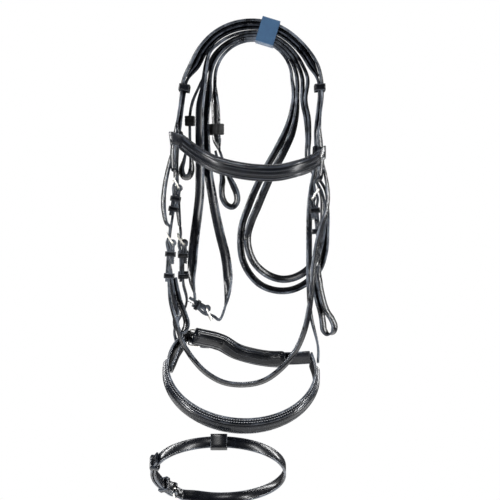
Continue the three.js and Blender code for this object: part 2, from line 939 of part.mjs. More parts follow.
const THROAT_LANE = -30;
const THROAT = station([-108.1, THROAT_LANE, -271.5], [0.06, 0, 1], [-1, 0, 0]);
add(
  "throatlash",
  cut(
    strap(
      [
        ...chapeFold(THROAT),
        THROAT.at(-34, LAYER),
        THROAT.at(-56, LAYER),
        [-111, THROAT_LANE, -349],
        [-104, THROAT_LANE, -374],
        [-94.5, THROAT_LANE, -404],
        [-80.9, THROAT_LANE, -426],
        [-62.6, THROAT_LANE, -445],
        [-39.5, THROAT_LANE, -457.5],
        [-11.9, THROAT_LANE, -460.5],
        [14, THROAT_LANE, -455],
        [36.7, THROAT_LANE, -439],
        [55.4, THROAT_LANE, -416.5],
        [67, THROAT_LANE, -391],
        [74, THROAT_LANE, -362],
        [78, THROAT_LANE, -330],
        [80.6, THROAT_LANE, -300],
        [85, THROAT_LANE, -272],
        [90.6, THROAT_LANE, -249.5],
      ],
      CHAPE_THICK,
      THROAT_WIDE,
      Y_ACROSS,
      flatSection,
      [
        [12, 0],
        [14, 24],
        [17, 32],
        [22, 32],
        [27, 28],
        [28, 20],
        [29, 12],
      ],
    ),
    chapeSlot(THROAT),
  ),
  BLACK_LEATHER,
);
add(
  "throat_billet",
  cut(
    strap(
      [
        [-115.6, THROAT_LANE, -246.6],
        ...billetThrough(THROAT, 52),
      ],
      LEATHER,
      THROAT_WIDE,
    ),
    billetHole(THROAT),
  ),
  BLACK_LEATHER,
);
buckleSet("throat", "", THROAT, THROAT_WIDE, -15, -44);

// --- Noseband ---

const ring = {
  right: new THREE.Vector3(1, 0, 0),
  back: new THREE.Vector3(0, 1, 0),
  centre: new THREE.Vector3(...NOSE_RING.centre),
};
for (const axis of [ring.right, ring.back]) {
  axis.applyAxisAngle(new THREE.Vector3(1, 0, 0), THREE.MathUtils.degToRad(NOSE_RING.tilt));
  axis.applyAxisAngle(new THREE.Vector3(0, 1, 0), THREE.MathUtils.degToRad(NOSE_RING.roll));
}
ring.across = ring.right.clone().cross(ring.back).toArray();

// A point on the noseband's ring: 0 degrees on the right, 270 in front.
function onRing(degrees, r = NOSE_RING.r) {
  const a = THREE.MathUtils.degToRad(degrees);
  return ring.centre
    .clone()
    .addScaledVector(ring.right, r * Math.cos(a))
    .addScaledVector(ring.back, r * Math.sin(a))
    .toArray();
}
const RING_STEP = 14;
const ringArc = (from, to, r) => {
  const count = Math.round(Math.abs(to - from) / RING_STEP);
  return Array.from({ length: count + 1 }, (_, i) => onRing(from + ((to - from) * i) / count, r));
};
const LEFT_END = 150;
const RIGHT_END = 380;
const NOSE_BACK = { thick: 3 };
const NOSE_PAD = { wide: 22, thick: 5 };
const PAD_R = NOSE_RING.r - 1 + (NOSE_BACK.thick + NOSE_PAD.thick) / 2 + GAP;
add(
  "noseband_front",
  strap(
    ringArc(LEFT_END, RIGHT_END, NOSE_RING.r - 1),
    NOSE_BACK.thick,
    NOSE_RING.wide,
    ring.across,
  ),
  BLACK_LEATHER,
);
add(
  "noseband_padding",
  strap(
    ringArc(RIGHT_END - RING_STEP, LEFT_END + 2 * RING_STEP, PAD_R),
    NOSE_PAD.thick,
    NOSE_PAD.wide,
    ring.across,
    paddedSection,
  ),
  PADDED_LEATHER,
);

const NOSE = station([-94, 15, -272], [0, -0.22, 0.975], [-1, 0, 0]);
const leftJunction = onRing(LEFT_END, NOSE_RING.r + 6);
const rightJunction = onRing(RIGHT_END - 5, NOSE_RING.r + 6);
add(
  "noseband_cheek_left",
  cut(
    strap(
      [
        ...chapeFold(NOSE),
        NOSE.at(-34, LAYER),
        NOSE.at(-56, LAYER),
        [-91.5, 36, -352],
        [leftJunction[0] - 2, leftJunction[1] - 6, leftJunction[2] + 16],
        [leftJunction[0], leftJunction[1], leftJunction[2] - 2],
      ],
      CHAPE_THICK,
      NOSE_STRAP_WIDE,
      NOSE.across,
    ),
    chapeSlot(NOSE),
  ),
  BLACK_LEATHER,
);
add(
  "noseband_billet",
  cut(
    strap(
      [
        [-100, HEADSTRAP_LANE - 1, -246.5],
        ...billetThrough(NOSE, 52),
      ],
      LEATHER,
      NOSE_STRAP_WIDE,
      NOSE.across,
    ),
    billetHole(NOSE),
  ),
  BLACK_LEATHER,
);
buckleSet("noseband", "", NOSE, NOSE_STRAP_WIDE, -15, -44);
add(
  "noseband_cheek_right",
  strap(
    [
      [75.5, HEADSTRAP_LANE, -244.2],
      [75.4, HEADSTRAP_LANE, -275],
      [75.8, 14, -320],
      [77.5, 22, -365],
      [rightJunction[0] + 0.5, rightJunction[1] - 3, rightJunction[2] + 22],
      [rightJunction[0] + 0.5, rightJunction[1], rightJunction[2]],
    ],
    LEATHER,
    NOSE_STRAP_WIDE,
  ),
  BLACK_LEATHER,
);

// --- Chin strap and pad ---

const CHIN = station([-74, 53.5, -403], [-0.62, -0.76, 0.18], [-0.78, 0.62, 0]);
const CHIN_LINE = [
  [-39, 85, -415],
  [-22, 86, -421],
  [-2, 83, -427],
  [23, 78, -431],
  [49, 65, -431],
  [78, 40, -428],
];
const CHIN_ACROSS = [0, 0.3, -0.95];
const CHIN_PAD = { wide: 24, thick: 8 };
const chinFold = [...chapeFold(CHIN), CHIN.at(-28, LAYER)];
add(
  "chin_strap",
  cut(
    strap(
      [...chinFold, ...CHIN_LINE],
      CHAPE_THICK,
      CHIN_WIDE,
      [...chinFold.map(() => CHIN.across), ...CHIN_LINE.map(() => CHIN_ACROSS)],
    ),
    chapeSlot(CHIN),
  ),
  BLACK_LEATHER,
);
add(
  "chin_pad",
  strap(
    [
      CHIN.at(26, -11.4),
      CHIN.at(8, -12),
      CHIN.at(-22, -12.4),
      [-42, 72.5, -411],
      ...beside(CHIN_LINE.slice(1, -1), CHAPE_THICK / 2 + 3 * GAP + CHIN_PAD.thick / 2, CHIN_ACROSS),
    ],
    CHIN_PAD.thick,
    CHIN_PAD.wide,
    CHIN_ACROSS,
    paddedSection,
  ),
  PADDED_LEATHER,
);
const billetIn = billetThrough(CHIN, 22);
const CHIN_BILLET_START = [
  onRing(184, NOSE_RING.r - 5),
  onRing(174, NOSE_RING.r - 9),
  onRing(162, NOSE_RING.r - 9),
  onRing(150, NOSE_RING.r - 7),
];
add(
  "chin_billet",
  cut(
    strap(
      [...CHIN_BILLET_START, ...billetIn],
      CHAPE_THICK,
      CHIN_WIDE - 2,
      [
        ...CHIN_BILLET_START.map(() => ring.across.map((v) => -v)),
        ...billetIn.map(() => CHIN.across),
      ],
    ),
    billetHole(CHIN),
  ),
  BLACK_LEATHER,
);
buckleFrame("chin_buckle", CHIN, CHIN_WIDE);
prong("chin_prong", CHIN);
keeper("chin_keeper", CHIN, -14.5, UNDER_TURN_BACK, OVER_BILLET, CHIN_WIDE, 6);

// --- Flash ---

const flashBack = new THREE.Vector3(0, 1, 0).applyAxisAngle(
  new THREE.Vector3(1, 0, 0),
  THREE.MathUtils.degToRad(-FLASH_RING.tilt),
);
const flashAcross = new THREE.Vector3(1, 0, 0).cross(flashBack).toArray();
function onFlash(degrees, r = FLASH_RING.r) {
  const a = THREE.MathUtils.degToRad(degrees);
  return new THREE.Vector3(...FLASH_RING.near)
    .addScaledVector(flashBack, FLASH_RING.r + r * Math.sin(a))
    .add(new THREE.Vector3(r * Math.cos(a), 0, 0))
    .toArray();
}
const FLASH_BUCKLE_AT = 138;
const FLASH_TIP_AT = 206;

// A station on the flash ring whose strap runs on towards smaller angles.
function flashStation(degrees, r = FLASH_RING.r) {
  const here = new THREE.Vector3(...onFlash(degrees, r));
  const on = new THREE.Vector3(...onFlash(degrees - 1, r)).sub(here);
  const out = new THREE.Vector3(...onFlash(degrees, r + 1)).sub(here);
  return station(here.toArray(), on.toArray(), out.toArray());
}
const flashArc = (from, to, r) => {
  const count = Math.round(Math.abs(to - from) / 15);
  return Array.from({ length: count + 1 }, (_, i) => onFlash(from + ((to - from) * i) / count, r));
};
const FLASH = flashStation(FLASH_BUCKLE_AT, FLASH_RING.r - LAYER);
const flashKeys = FLASH.across;
const TAIL_R = FLASH_RING.r + BILLET_N - LAYER + 0.8;
add(
  "flash_strap",
  cut(
    strap(
      [
        ...chapeFold(FLASH),
        ...flashArc(158, 473, FLASH_RING.r),
        ...billetThrough(FLASH, 14).slice(0, -1),
        ...flashArc(152, FLASH_TIP_AT, TAIL_R),
      ],
      CHAPE_THICK,
      FLASH_WIDE,
      flashKeys,
    ),
    chapeSlot(FLASH),
    billetHole(FLASH),
  ),
  BLACK_LEATHER,
);
buckleFrame("flash_buckle", FLASH, FLASH_WIDE);
prong("flash_prong", FLASH);
keeper("flash_keeper", flashStation(150), 0, UNDER_TURN_BACK - LAYER, OVER_BILLET - LAYER + 1.6, FLASH_WIDE, 6);
keeper("flash_runner", flashStation(196), 0, -CHAPE_THICK / 2 - 1.4, OVER_BILLET - LAYER + 1.6, FLASH_WIDE, 7);

// The loop under the noseband that the flash strap runs through.
const HANGER_LONG = 22;
keeper("flash_hanger", flashStation(270), 0, -3.9, 3.3, FLASH_WIDE + 0.6, HANGER_LONG);

bridle.name = "snaffle_bridle";
export default bridle;
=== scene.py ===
"""Looks of the snaffle bridle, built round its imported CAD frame.

Lengths are in millimetres until make() turns them to metres. Camera, lights and floor are given in metres.
"""

import math

import bmesh
import bpy
import numpy as np
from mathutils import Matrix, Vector


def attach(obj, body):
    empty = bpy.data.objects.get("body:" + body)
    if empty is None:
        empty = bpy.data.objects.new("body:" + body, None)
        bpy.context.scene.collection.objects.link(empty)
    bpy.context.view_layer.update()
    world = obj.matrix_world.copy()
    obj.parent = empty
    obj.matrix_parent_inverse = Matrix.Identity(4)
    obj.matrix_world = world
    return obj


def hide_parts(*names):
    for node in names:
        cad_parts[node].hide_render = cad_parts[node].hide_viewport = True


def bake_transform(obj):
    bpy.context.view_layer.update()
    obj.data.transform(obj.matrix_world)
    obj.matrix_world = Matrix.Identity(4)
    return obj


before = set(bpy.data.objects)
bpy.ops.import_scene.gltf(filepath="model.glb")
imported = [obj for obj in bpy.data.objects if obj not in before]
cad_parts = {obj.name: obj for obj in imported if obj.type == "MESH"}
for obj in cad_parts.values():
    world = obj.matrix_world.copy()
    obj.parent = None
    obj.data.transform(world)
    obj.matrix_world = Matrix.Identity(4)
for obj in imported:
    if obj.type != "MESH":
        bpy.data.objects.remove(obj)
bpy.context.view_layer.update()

scene = bpy.context.scene
MM = 0.001

# --- Camera ---

CAMERA_AT = (-0.0047, -2.5, -0.2808)
VIEW_WIDTH = 0.675  # across the picture at the bridle's middle
SENSOR_WIDTH = 36
camera_data = bpy.data.cameras.new("camera")
camera_data.sensor_width = SENSOR_WIDTH
camera_data.lens = SENSOR_WIDTH * -CAMERA_AT[1] / VIEW_WIDTH
camera = bpy.data.objects.new("camera", camera_data)
camera.location = CAMERA_AT
camera.rotation_euler = (math.pi / 2, 0, 0)
scene.collection.objects.link(camera)
scene.camera = camera
scene.view_settings.view_transform = "Standard"

# --- Driving dimensions, as in the CAD ---

BRACKET_R = 50  # the round bracket that the crown hangs over
LEATHER = 3.2  # billets and headstrap
GAP = 0.4  # air between neighbouring pieces
CHAPE_THICK = 3  # a chape is the strap end folded round a buckle's heel bar
REIN_WIDE = 15
CROWN_WIDE = 34
CHEEK_WIDE = 15
THROAT_WIDE = 12
NOSE_STRAP_WIDE = 14
FLASH_WIDE = 16
CHIN_WIDE = 18
BAR = 2.6  # diameter of a buckle's bars
FRAME_LONG = 15
FRAME_TILT = math.radians(36)
KEEPER_THICK = 1.6


# --- Materials ---


class Nodes:
    """A material's node tree with short calls."""

    def __init__(self, name):
        self.material = bpy.data.materials.new(name)
        self.material.use_nodes = True
        self.tree = self.material.node_tree
        self.shader = self.tree.nodes["Principled BSDF"]
        self.place = self.add("ShaderNodeTexCoord").outputs["Object"]

    def add(self, kind, **values):
        node = self.tree.nodes.new(kind)
        for key, value in values.items():
            if hasattr(node, key):
                setattr(node, key, value)
            else:
                node.inputs[key.replace("_", " ")].default_value = value
        return node

    def link(self, a, b):
        self.tree.links.new(a, b)

    def noise(self, scale, detail=3, roughness=0.5):
        node = self.add("ShaderNodeTexNoise", Scale=scale, Detail=detail, Roughness=roughness)
        self.link(self.place, node.inputs["Vector"])
        return node.outputs["Fac"]

    def cells(self, scale):
        node = self.add("ShaderNodeTexVoronoi", Scale=scale)
        self.link(self.place, node.inputs["Vector"])
        return node.outputs["Distance"]

    def wave(self, direction, scale, distortion):
        node = self.add("ShaderNodeTexWave", bands_direction=direction, Scale=scale, Distortion=distortion)
        self.link(self.place, node.inputs["Vector"])
        return node.outputs["Fac"]

    def ramp(self, value, low, high, to_low=0.0, to_high=1.0):
        node = self.add("ShaderNodeMapRange")
        for i, v in enumerate((low, high, to_low, to_high)):
            node.inputs[i + 1].default_value = v
        self.link(value, node.inputs[0])
        return node.outputs[0]

    def mix(self, factor, a, b):
        node = self.add("ShaderNodeMix", data_type="RGBA")
        for socket, colour in ((node.inputs[6], a), (node.inputs[7], b)):
            if isinstance(colour, tuple):
                socket.default_value = (*colour, 1)
            else:
                self.link(colour, socket)
        self.link(factor, node.inputs[0])
        return node.outputs[2]

    def math(self, operation, a, b):
        node = self.add("ShaderNodeMath", operation=operation)
        for socket, value in zip(node.inputs, (a, b)):
            if isinstance(value, (int, float)):
                socket.default_value = value
            else:
                self.link(value, socket)
        return node.outputs[0]

    def attribute(self, name):
        return self.add("ShaderNodeAttribute", attribute_name=name).outputs["Fac"]

    def bump(self, height, strength, distance):
        node = self.add("ShaderNodeBump", Strength=strength, Distance=distance)
        self.link(height, node.inputs["Height"])
        self.link(node.outputs[0], self.shader.inputs["Normal"])

    def colour(self, value):
        self.link(value, self.shader.inputs["Base Color"])

    def roughness(self, value):
        self.link(value, self.shader.inputs["Roughness"])

    def set(self, **values):
        for key, value in values.items():
            self.shader.inputs[key.replace("_", " ")].default_value = value


EDGE_POLISH = 0.14  # how much smoother a painted edge is than the face beside it
GRAIN_STRENGTH = 0.22


def leather(name, dark, light, wear_and_highlight, rough, grain, depth):
    """Dressed leather: pebbled grain, uneven sheen, and a smoother edge where 'edge' is 1, painted paler
    there as a highlight.
    """
    m = Nodes(name)
    edge = m.attribute("edge")
    cloud = m.ramp(m.noise(28, 5, 0.6), 0.35, 0.68)
    face = m.mix(cloud, dark, light)
    # Painted highlight: the edges are mixed towards a paler colour, broken up by noise.
    painted_highlight = m.math("MULTIPLY", edge, m.ramp(m.noise(45, 4, 0.65), 0.38, 0.62))
    m.colour(m.mix(painted_highlight, face, wear_and_highlight))
    sheen = m.ramp(m.noise(60, 4), 0.3, 0.7, *rough)
    m.roughness(m.math("SUBTRACT", sheen, m.math("MULTIPLY", edge, EDGE_POLISH)))
    pebble = m.math("ADD", m.cells(grain), m.math("MULTIPLY", m.noise(grain * 2.2, 2), 0.35))
    fold = m.math("MULTIPLY", m.noise(90, 3), 1.6)
    m.bump(m.math("ADD", pebble, fold), GRAIN_STRENGTH, depth)
    m.set(Specular_IOR_Level=0.26, Coat_Weight=0.04, Coat_Roughness=0.22)
    return m.material


# Each leather's third colour is the painted highlight laid along its edges.
STRAP_LEATHER = leather(
    "black_leather", dark=(0.002, 0.0024, 0.0036), light=(0.005, 0.006, 0.009), wear_and_highlight=(0.095, 0.108, 0.13),
    rough=(0.22, 0.3), grain=1100, depth=0.00005,
)
PAD_LEATHER = leather(
    "padded_leather", dark=(0.002, 0.0026, 0.004), light=(0.004, 0.005, 0.008), wear_and_highlight=(0.05, 0.056, 0.07),
    rough=(0.2, 0.27), grain=850, depth=0.00008,
)


def thread(name, colour):
    """Twisted thread: darker between its turns."""
    m = Nodes(name)
    twist = m.noise(1500, 2)
    shade = tuple(c * 0.55 for c in colour)
    m.colour(m.mix(m.ramp(twist, 0.35, 0.65), shade, colour))
    m.bump(twist, 0.4, 0.0001)
    m.set(Roughness=0.6)
    return m.material


DARK_THREAD = thread("dark_thread", (0.045, 0.05, 0.06))
PALE_THREAD = thread("pale_thread", (0.42, 0.43, 0.45))


def metal():
    """Polished steel with a faintly uneven, handled sheen."""
    m = Nodes("polished_steel")
    cloud = m.ramp(m.noise(220, 4), 0.35, 0.7)
    m.colour(m.mix(cloud, (1.0, 0.98, 0.94), (0.9, 0.87, 0.8)))
    m.roughness(m.ramp(m.noise(700, 3), 0.3, 0.7, 0.4, 0.5))
    m.bump(m.noise(1300, 2), 0.12, 0.00005)
    m.set(Metallic=1.0)
    return m.material


STEEL = metal()


def denim():
    """Blue twill: warp and weft as two crossed sine weaves, one laid diagonally."""
    m = Nodes("blue_webbing")
    weave = m.math("ADD", m.wave("DIAGONAL", 420, 0.4), m.math("MULTIPLY", m.wave("Y", 620, 0.5), 0.5))
    wear_and_highlight = m.mix(m.ramp(m.noise(120, 5), 0.35, 0.7), (0.010, 0.065, 0.15), (0.022, 0.10, 0.20))
    m.colour(m.mix(m.ramp(weave, 0.3, 1.2), (0.006, 0.035, 0.09), wear_and_highlight))
    m.bump(weave, 0.6, 0.0002)
    m.set(Roughness=0.85, Sheen_Weight=0.3)
    return m.material


DENIM = denim()


def rubber():
    """Moulded rubber with a dull, lightly rough skin."""
    m = Nodes("black_rubber")
    m.colour(m.mix(m.noise(90, 4), (0.003, 0.003, 0.0035), (0.007, 0.007, 0.008)))
    m.roughness(m.ramp(m.noise(300, 3), 0.3, 0.7, 0.5, 0.7))
    m.bump(m.noise(900, 3), 0.4, 0.0001)
    m.set(Specular_IOR_Level=0.2)
    return m.material


RUBBER = rubber()

# --- Vectors, routes and stations ---


def vec(*v):
    return np.array(v, float)


def unit(v):
    v = np.asarray(v, float)
    return v / np.linalg.norm(v)


class Station:
    """A buckle's own axes: up towards the incoming billet, out of its face, and wide across it."""

    def __init__(self, origin, up, out):
        self.origin = vec(*origin)
        self.up = unit(up)
        out = np.asarray(out, float)
        self.out = unit(out - self.up * out.dot(self.up))
        self.wide = np.cross(self.up, self.out)

    def at(self, u, n, w=0.0):
        return self.origin + u * self.up + n * self.out + w * self.wide


EYE_ROOM = 0.9  # room round the heel bar for the prong's eye
FOLD_R = BAR / 2 + EYE_ROOM + CHAPE_THICK / 2  # middle of the leather that turns round the heel bar
LAYER = CHAPE_THICK / 2 + GAP / 2  # middle of each of a chape's two layers
BILLET_N = LAYER + CHAPE_THICK / 2 + GAP + LEATHER / 2
OVER_HEEL_N = FOLD_R + CHAPE_THICK / 2 + GAP + LEATHER / 2
TURN_BACK = 28  # length of a chape's sewn-back layer
UNDER_TURN_BACK = -(LAYER + CHAPE_THICK / 2 + GAP)
OVER_BILLET = BILLET_N + LEATHER / 2 + GAP
NECK = 9  # where a strap has settled flat beyond the heel bar


def chape_fold(at):
    """Route of a strap end from its sewn-back tip, round the heel bar and out again on the front."""
    bend = []
    for degrees in (150, 100, 50, 0, -50, -100, -150):
        a = math.radians(degrees)
        bend.append(at.at(FOLD_R * math.cos(a) * 0.98, -FOLD_R * math.sin(a)))
    return [at.at(-TURN_BACK, -LAYER), at.at(-NECK, -LAYER), *bend, at.at(-NECK, LAYER), at.at(-16, LAYER)]


def billet_through(at, tail):
    """Route of a billet down through the buckle frame, over the heel bar and on along the chape."""
    return [
        at.at(22, 5.2), at.at(14, 4.6), at.at(NECK, 5), at.at(2.5, OVER_HEEL_N), at.at(-2.5, OVER_HEEL_N),
        at.at(-NECK, BILLET_N + 0.3), at.at(-14, BILLET_N), at.at(-tail, BILLET_N),
    ]


class Path:
    """Rows along a centripetal Catmull-Rom route: place, tangent, width direction, face normal, distance run.

    across is the width direction, or a list of them along the route. twist leans the width about the route,
    in degrees keyed by route point. step is the longest distance between rows.
    """

    def __init__(self, route, across=(0, 1, 0), step=2.4, twist=None):
        points = [vec(*p) for p in route]
        keys = np.asarray(across, float)
        if keys.ndim == 1:
            keys = np.stack([keys, keys])
        padded = [2 * points[0] - points[1], *points, 2 * points[-1] - points[-2]]
        last = len(points) - 1
        places, tangents, wides, turns = [], [], [], []
        twist = twist or {0: 0}
        for i in range(last):
            p0, p1, p2, p3 = padded[i : i + 4]
            pairs = ((p0, p1), (p1, p2), (p2, p3))
            d0, d1, d2 = (max(np.linalg.norm(b - a), 1e-4) ** 0.5 for a, b in pairs)
            t1 = ((p1 - p0) / d0 - (p2 - p0) / (d0 + d1) + (p2 - p1) / d1) * d1
            t2 = ((p2 - p1) / d1 - (p3 - p1) / (d1 + d2) + (p3 - p2) / d2) * d1
            c2 = -3 * p1 + 3 * p2 - 2 * t1 - t2
            c3 = 2 * p1 - 2 * p2 + t1 + t2
            steps = max(2, math.ceil(np.linalg.norm(p2 - p1) / step))
            for k in range(steps + (i == last - 1)):
                s = k / steps
                places.append(p1 + t1 * s + c2 * s**2 + c3 * s**3)
                tangents.append(unit(t1 + 2 * c2 * s + 3 * c3 * s**2))
                at = (i + s) / last * (len(keys) - 1)
                j = min(int(at), len(keys) - 2)
                wides.append(keys[j] + (keys[j + 1] - keys[j]) * (at - j))
                turns.append(math.radians(np.interp(i + s, list(twist), list(twist.values()))))
        self.place = np.array(places)
        self.tangent = np.array(tangents)
        wide = np.array(wides)
        wide -= self.tangent * np.sum(wide * self.tangent, 1, keepdims=True)
        self.wide = wide / np.linalg.norm(wide, axis=1, keepdims=True)
        self.normal = np.cross(self.wide, self.tangent)
        cos, sin = np.cos(turns)[:, None], np.sin(turns)[:, None]
        self.wide, self.normal = self.wide * cos + self.normal * sin, self.normal * cos - self.wide * sin
        self.run = np.concatenate([[0], np.cumsum(np.linalg.norm(np.diff(self.place, axis=0), axis=1))])

    def frame_at(self, run):
        """Place, tangent, width and normal at a distance along the route."""
        rows = (self.place, self.tangent, self.wide, self.normal)
        pick = [np.array([np.interp(run, self.run, a[:, k]) for k in range(3)]) for a in rows]
        return pick[0], unit(pick[1]), unit(pick[2]), unit(pick[3])


def beside(route, distances, across=(0, 1, 0)):
    """The same route moved along the strap's face normal, by one distance or by one for each point."""
    places = [vec(*p) for p in route]
    keys = np.asarray(across, float)
    moved = []
    for i, place in enumerate(places):
        tangent = unit(places[min(i + 1, len(places) - 1)] - places[max(i - 1, 0)])
        normal = unit(np.cross(keys, tangent))
        moved.append(place + normal * (distances[i] if isinstance(distances, list) else distances))
    return moved


# --- Sections: closed outlines of (face normal, width, edge share) ---

CREASE_DEEP = 0.22
SEW_IN = 1.9  # from a strap's edge to its crease or its stitching


def flat_section(thick, wide, crease=SEW_IN):
    """A strap's cut: rounded edges, and a pressed crease line beside each edge on both faces."""
    r = thick * 0.34
    outline = []

    def corner(sx, sy, start):
        for k in range(4):
            a = math.radians(start + 30 * k)
            x, y = sx * (thick / 2 - r), sy * (wide / 2 - r)
            outline.append((x + r * math.cos(a), y + r * math.sin(a), 1.0))

    def face(side):
        x = side * thick / 2
        for y in (-1, 1):
            c = side * y * (wide / 2 - crease)
            for dy, dip in ((-0.5, 0), (-0.15, CREASE_DEEP), (0.15, CREASE_DEEP), (0.5, 0)):
                outline.append((x - side * dip, c + side * dy, 0.0))

    face(1)
    corner(1, 1, 0)
    corner(-1, 1, 90)
    face(-1)
    corner(-1, -1, 180)
    corner(1, -1, 270)
    return outline


WELT = 1.6  # width of the flat sewn border
WELT_SHARE, CROWN_SHARE = 0.18, 0.68  # of the thickness: the welt's drop, and the crown's rise from the welt
BEAD = 3.4  # width of the raised bead inside each welt
BEAD_GROOVE, BEAD_GROOVE_HALF = 0.75, 0.55  # depth and half width of the groove that parts bead from crown
BEAD_HIGHLIGHT = 0.7  # edge share along the bead crest, where the pad gets a painted highlight and a smoother finish


def crown_height(thick, wide, y, welt=WELT):
    """Height of a padded face above its middle plane: flat welts, a bead inside each, and a full crown."""
    inner = wide / 2 - welt
    low = -thick * WELT_SHARE
    if abs(y) >= inner:
        return low
    crown = low + thick * CROWN_SHARE * (1 - abs(y / inner) ** 3.0) ** 0.6
    return crown - BEAD_GROOVE * math.exp(-(((abs(y) - inner + BEAD) / BEAD_GROOVE_HALF) ** 2))


def padded_section(thick, wide, welt=WELT):
    """Flat back, rounded sides, a sewn channel near each side and a beaded, crowned face."""
    outline = []
    inner = wide / 2 - welt
    groove = inner - BEAD
    half = [0, 0.35 * groove, 0.7 * groove, groove - 1.1, groove - 0.5, groove, groove + 0.5, groove + 1.1]
    half += [inner - 1.3, inner - 0.6, inner - 0.15]
    ys = [-wide / 2 + 0.5, -inner - 0.35, -inner, *(-y for y in reversed(half[1:])), *half]
    ys += [inner, inner + 0.35, wide / 2 - 0.5]
    for y in ys:
        dip = 0.35 if abs(abs(y) - inner) < 0.01 else 0.0
        crest = BEAD_HIGHLIGHT if groove + 0.8 < abs(y) < inner - 0.3 else 0.0
        outline.append((crown_height(thick, wide, y, welt) - dip, y, crest))
    back = -thick / 2
    side = -thick * 0.34
    outline += [(side, wide / 2, 1.0), (back + 0.2, wide / 2 - 0.2, 1.0), (back, wide / 2 - 0.9, 0.0)]
    outline += [(back, 0, 0.0)]
    outline += [(back, -wide / 2 + 0.9, 0.0), (back + 0.2, -wide / 2 + 0.2, 1.0), (side, -wide / 2, 1.0)]
    return outline


def tip_scale(run, length, tip):
    """Width share near a strap end that is rounded over the distance tip."""
    if tip <= 0:
        return 1.0
    return math.sqrt(max(1 - max(0.0, 1 - (length - run) / tip) ** 2, 0.0004))


# --- Mesh building ---


def make(name, verts, faces, look, edge=None):
    """A smooth-shaded mesh object from millimetres, with each vertex's edge share where it is given."""
    mesh = bpy.data.meshes.new(name)
    mesh.from_pydata([tuple(v) for v in np.asarray(verts) * MM], [], faces)
    if edge is not None:
        layer = mesh.attributes.new("edge", "FLOAT", "POINT")
        layer.data.foreach_set("value", np.asarray(edge, np.float32))
    mesh.materials.append(look)
    mesh.validate()
    mesh.shade_smooth()
    obj = bpy.data.objects.new(name, mesh)
    scene.collection.objects.link(obj)
    return obj


def ring_faces(count, around, closed=False):
    """Faces between rings of vertices laid one after another, capped at both ends or joined into a loop."""
    faces = []
    for i in range(count if closed else count - 1):
        a, b = i * around, (i + 1) % count * around
        for k in range(around):
            m = (k + 1) % around
            faces.append((a + k, a + m, b + m, b + k))
    if not closed:
        faces.append(tuple(range(around - 1, -1, -1)))
        faces.append(tuple(range((count - 1) * around, count * around)))
    return faces


def spindle_faces(rings, around):
    """Faces of rings of vertices between a first point and a last point."""
    faces = [tuple(1 + i for i in face) for face in ring_faces(rings, around)[:-2]]
    last = 1 + (rings - 1) * around
    for k in range(around):
        m = (k + 1) % around
        faces += [(0, 1 + m, 1 + k), (last + k, last + m, last + around)]
    return faces


def merged(shells):
    """Shells, each its vertices, faces and edge shares, put together as one."""
    verts, faces, edges = [], [], []
    for v, f, e in shells:
        base = len(verts)
        verts += v
        faces += [tuple(base + i for i in face) for face in f]
        edges += e
    return verts, faces, edges


def circle(r, around, squash=1.0):
    turns = [2 * math.pi * k / around for k in range(around)]
    return [(r * math.cos(a), squash * r * math.sin(a)) for a in turns]


def sweep(path, section, tips, thin):
    """Vertices, faces and edge shares of a section run along a path.

    tips are the lengths over which the start and the end narrow to a rounded tip. thin is the share of the
    thickness left at both ends, and the length over which it is lost.
    """
    length = path.run[-1]
    verts = []
    for place, normal, wide, run in zip(path.place, path.normal, path.wide, path.run):
        scale = tip_scale(length - run, length, tips[0]) * tip_scale(run, length, tips[1])
        full = np.interp(min(run, length - run), (0, thin[1]), (thin[0], 1))
        verts += [place + normal * x * full + wide * y * scale for x, y, _ in section]
    edge = [e for _, _, e in section] * len(path.place)
    return verts, ring_faces(len(path.place), len(section)), edge


def shade_by_angle(obj, degrees=50):
    """Turns faces outwards and marks edges sharper than an angle, so that they shade crisply."""
    mesh = obj.data
    mesh.shade_smooth()
    limit = math.radians(degrees)
    bm = bmesh.new()
    bm.from_mesh(mesh)
    bmesh.ops.recalc_face_normals(bm, faces=bm.faces)
    for e in bm.edges:
        e.smooth = not (len(e.link_faces) == 2 and e.calc_face_angle(0) > limit)
    bm.to_mesh(mesh)
    bm.free()


SLOT_SIDES = 12
SLOT_FULL = 1.03  # widens a slot's end so that its outermost corners reach the full radius


def cut_slots(obj, slots):
    """Cuts round-ended slots, each (station, u0, u1, n0, n1, half width), out of a piece."""
    shells = []
    for at, u0, u1, n0, n1, half in slots:
        verts = []
        centre, long = (u0 + u1) / 2, (u1 - u0) / 2
        for n in (n0, n1):
            for k in range(SLOT_SIDES):
                a = 2 * math.pi * (k + 0.5) / SLOT_SIDES
                du = math.copysign(min(abs(math.cos(a)) * half * SLOT_FULL, half), math.cos(a))
                shift = math.copysign(max(long - half, 0), math.cos(a))
                verts.append(at.at(centre + du + shift, n, half * math.sin(a)))
        shells.append((verts, ring_faces(2, SLOT_SIDES), []))
    cutter = make("cutter", *merged(shells)[:2], STRAP_LEATHER)
    shade_by_angle(cutter)
    modifier = obj.modifiers.new("cut", "BOOLEAN")
    modifier.object = cutter
    modifier.operation = "DIFFERENCE"
    for solver in ("EXACT", "FAST"):  # a strap that touches itself needs the second
        modifier.solver = solver
        bpy.context.view_layer.update()
        done = obj.evaluated_get(bpy.context.evaluated_depsgraph_get())
        mesh = bpy.data.meshes.new_from_object(done)
        if len(mesh.vertices) > len(obj.data.vertices):
            obj.data = mesh
            break
    obj.modifiers.clear()
    bpy.data.objects.remove(cutter)


def settle(obj, body, replaced=(), look=STRAP_LEATHER, flex=None):
    """Puts a finished piece on its body. With flex, it only bakes the piece's placement into its mesh and
    puts it on neither body.
    """
    if flex:
        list(body)
        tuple(flex[0])
        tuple(flex[1])
        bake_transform(obj)
    else:
        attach(obj, body)
    if replaced:
        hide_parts(*([replaced] if isinstance(replaced, str) else replaced))


def solid(name, shells, look, body, replaced, degrees=50):
    """One piece made of closed shells."""
    verts, faces, edges = merged(shells)
    obj = make(name, verts, faces, look, edges)
    shade_by_angle(obj, degrees)
    settle(obj, body, replaced, look)


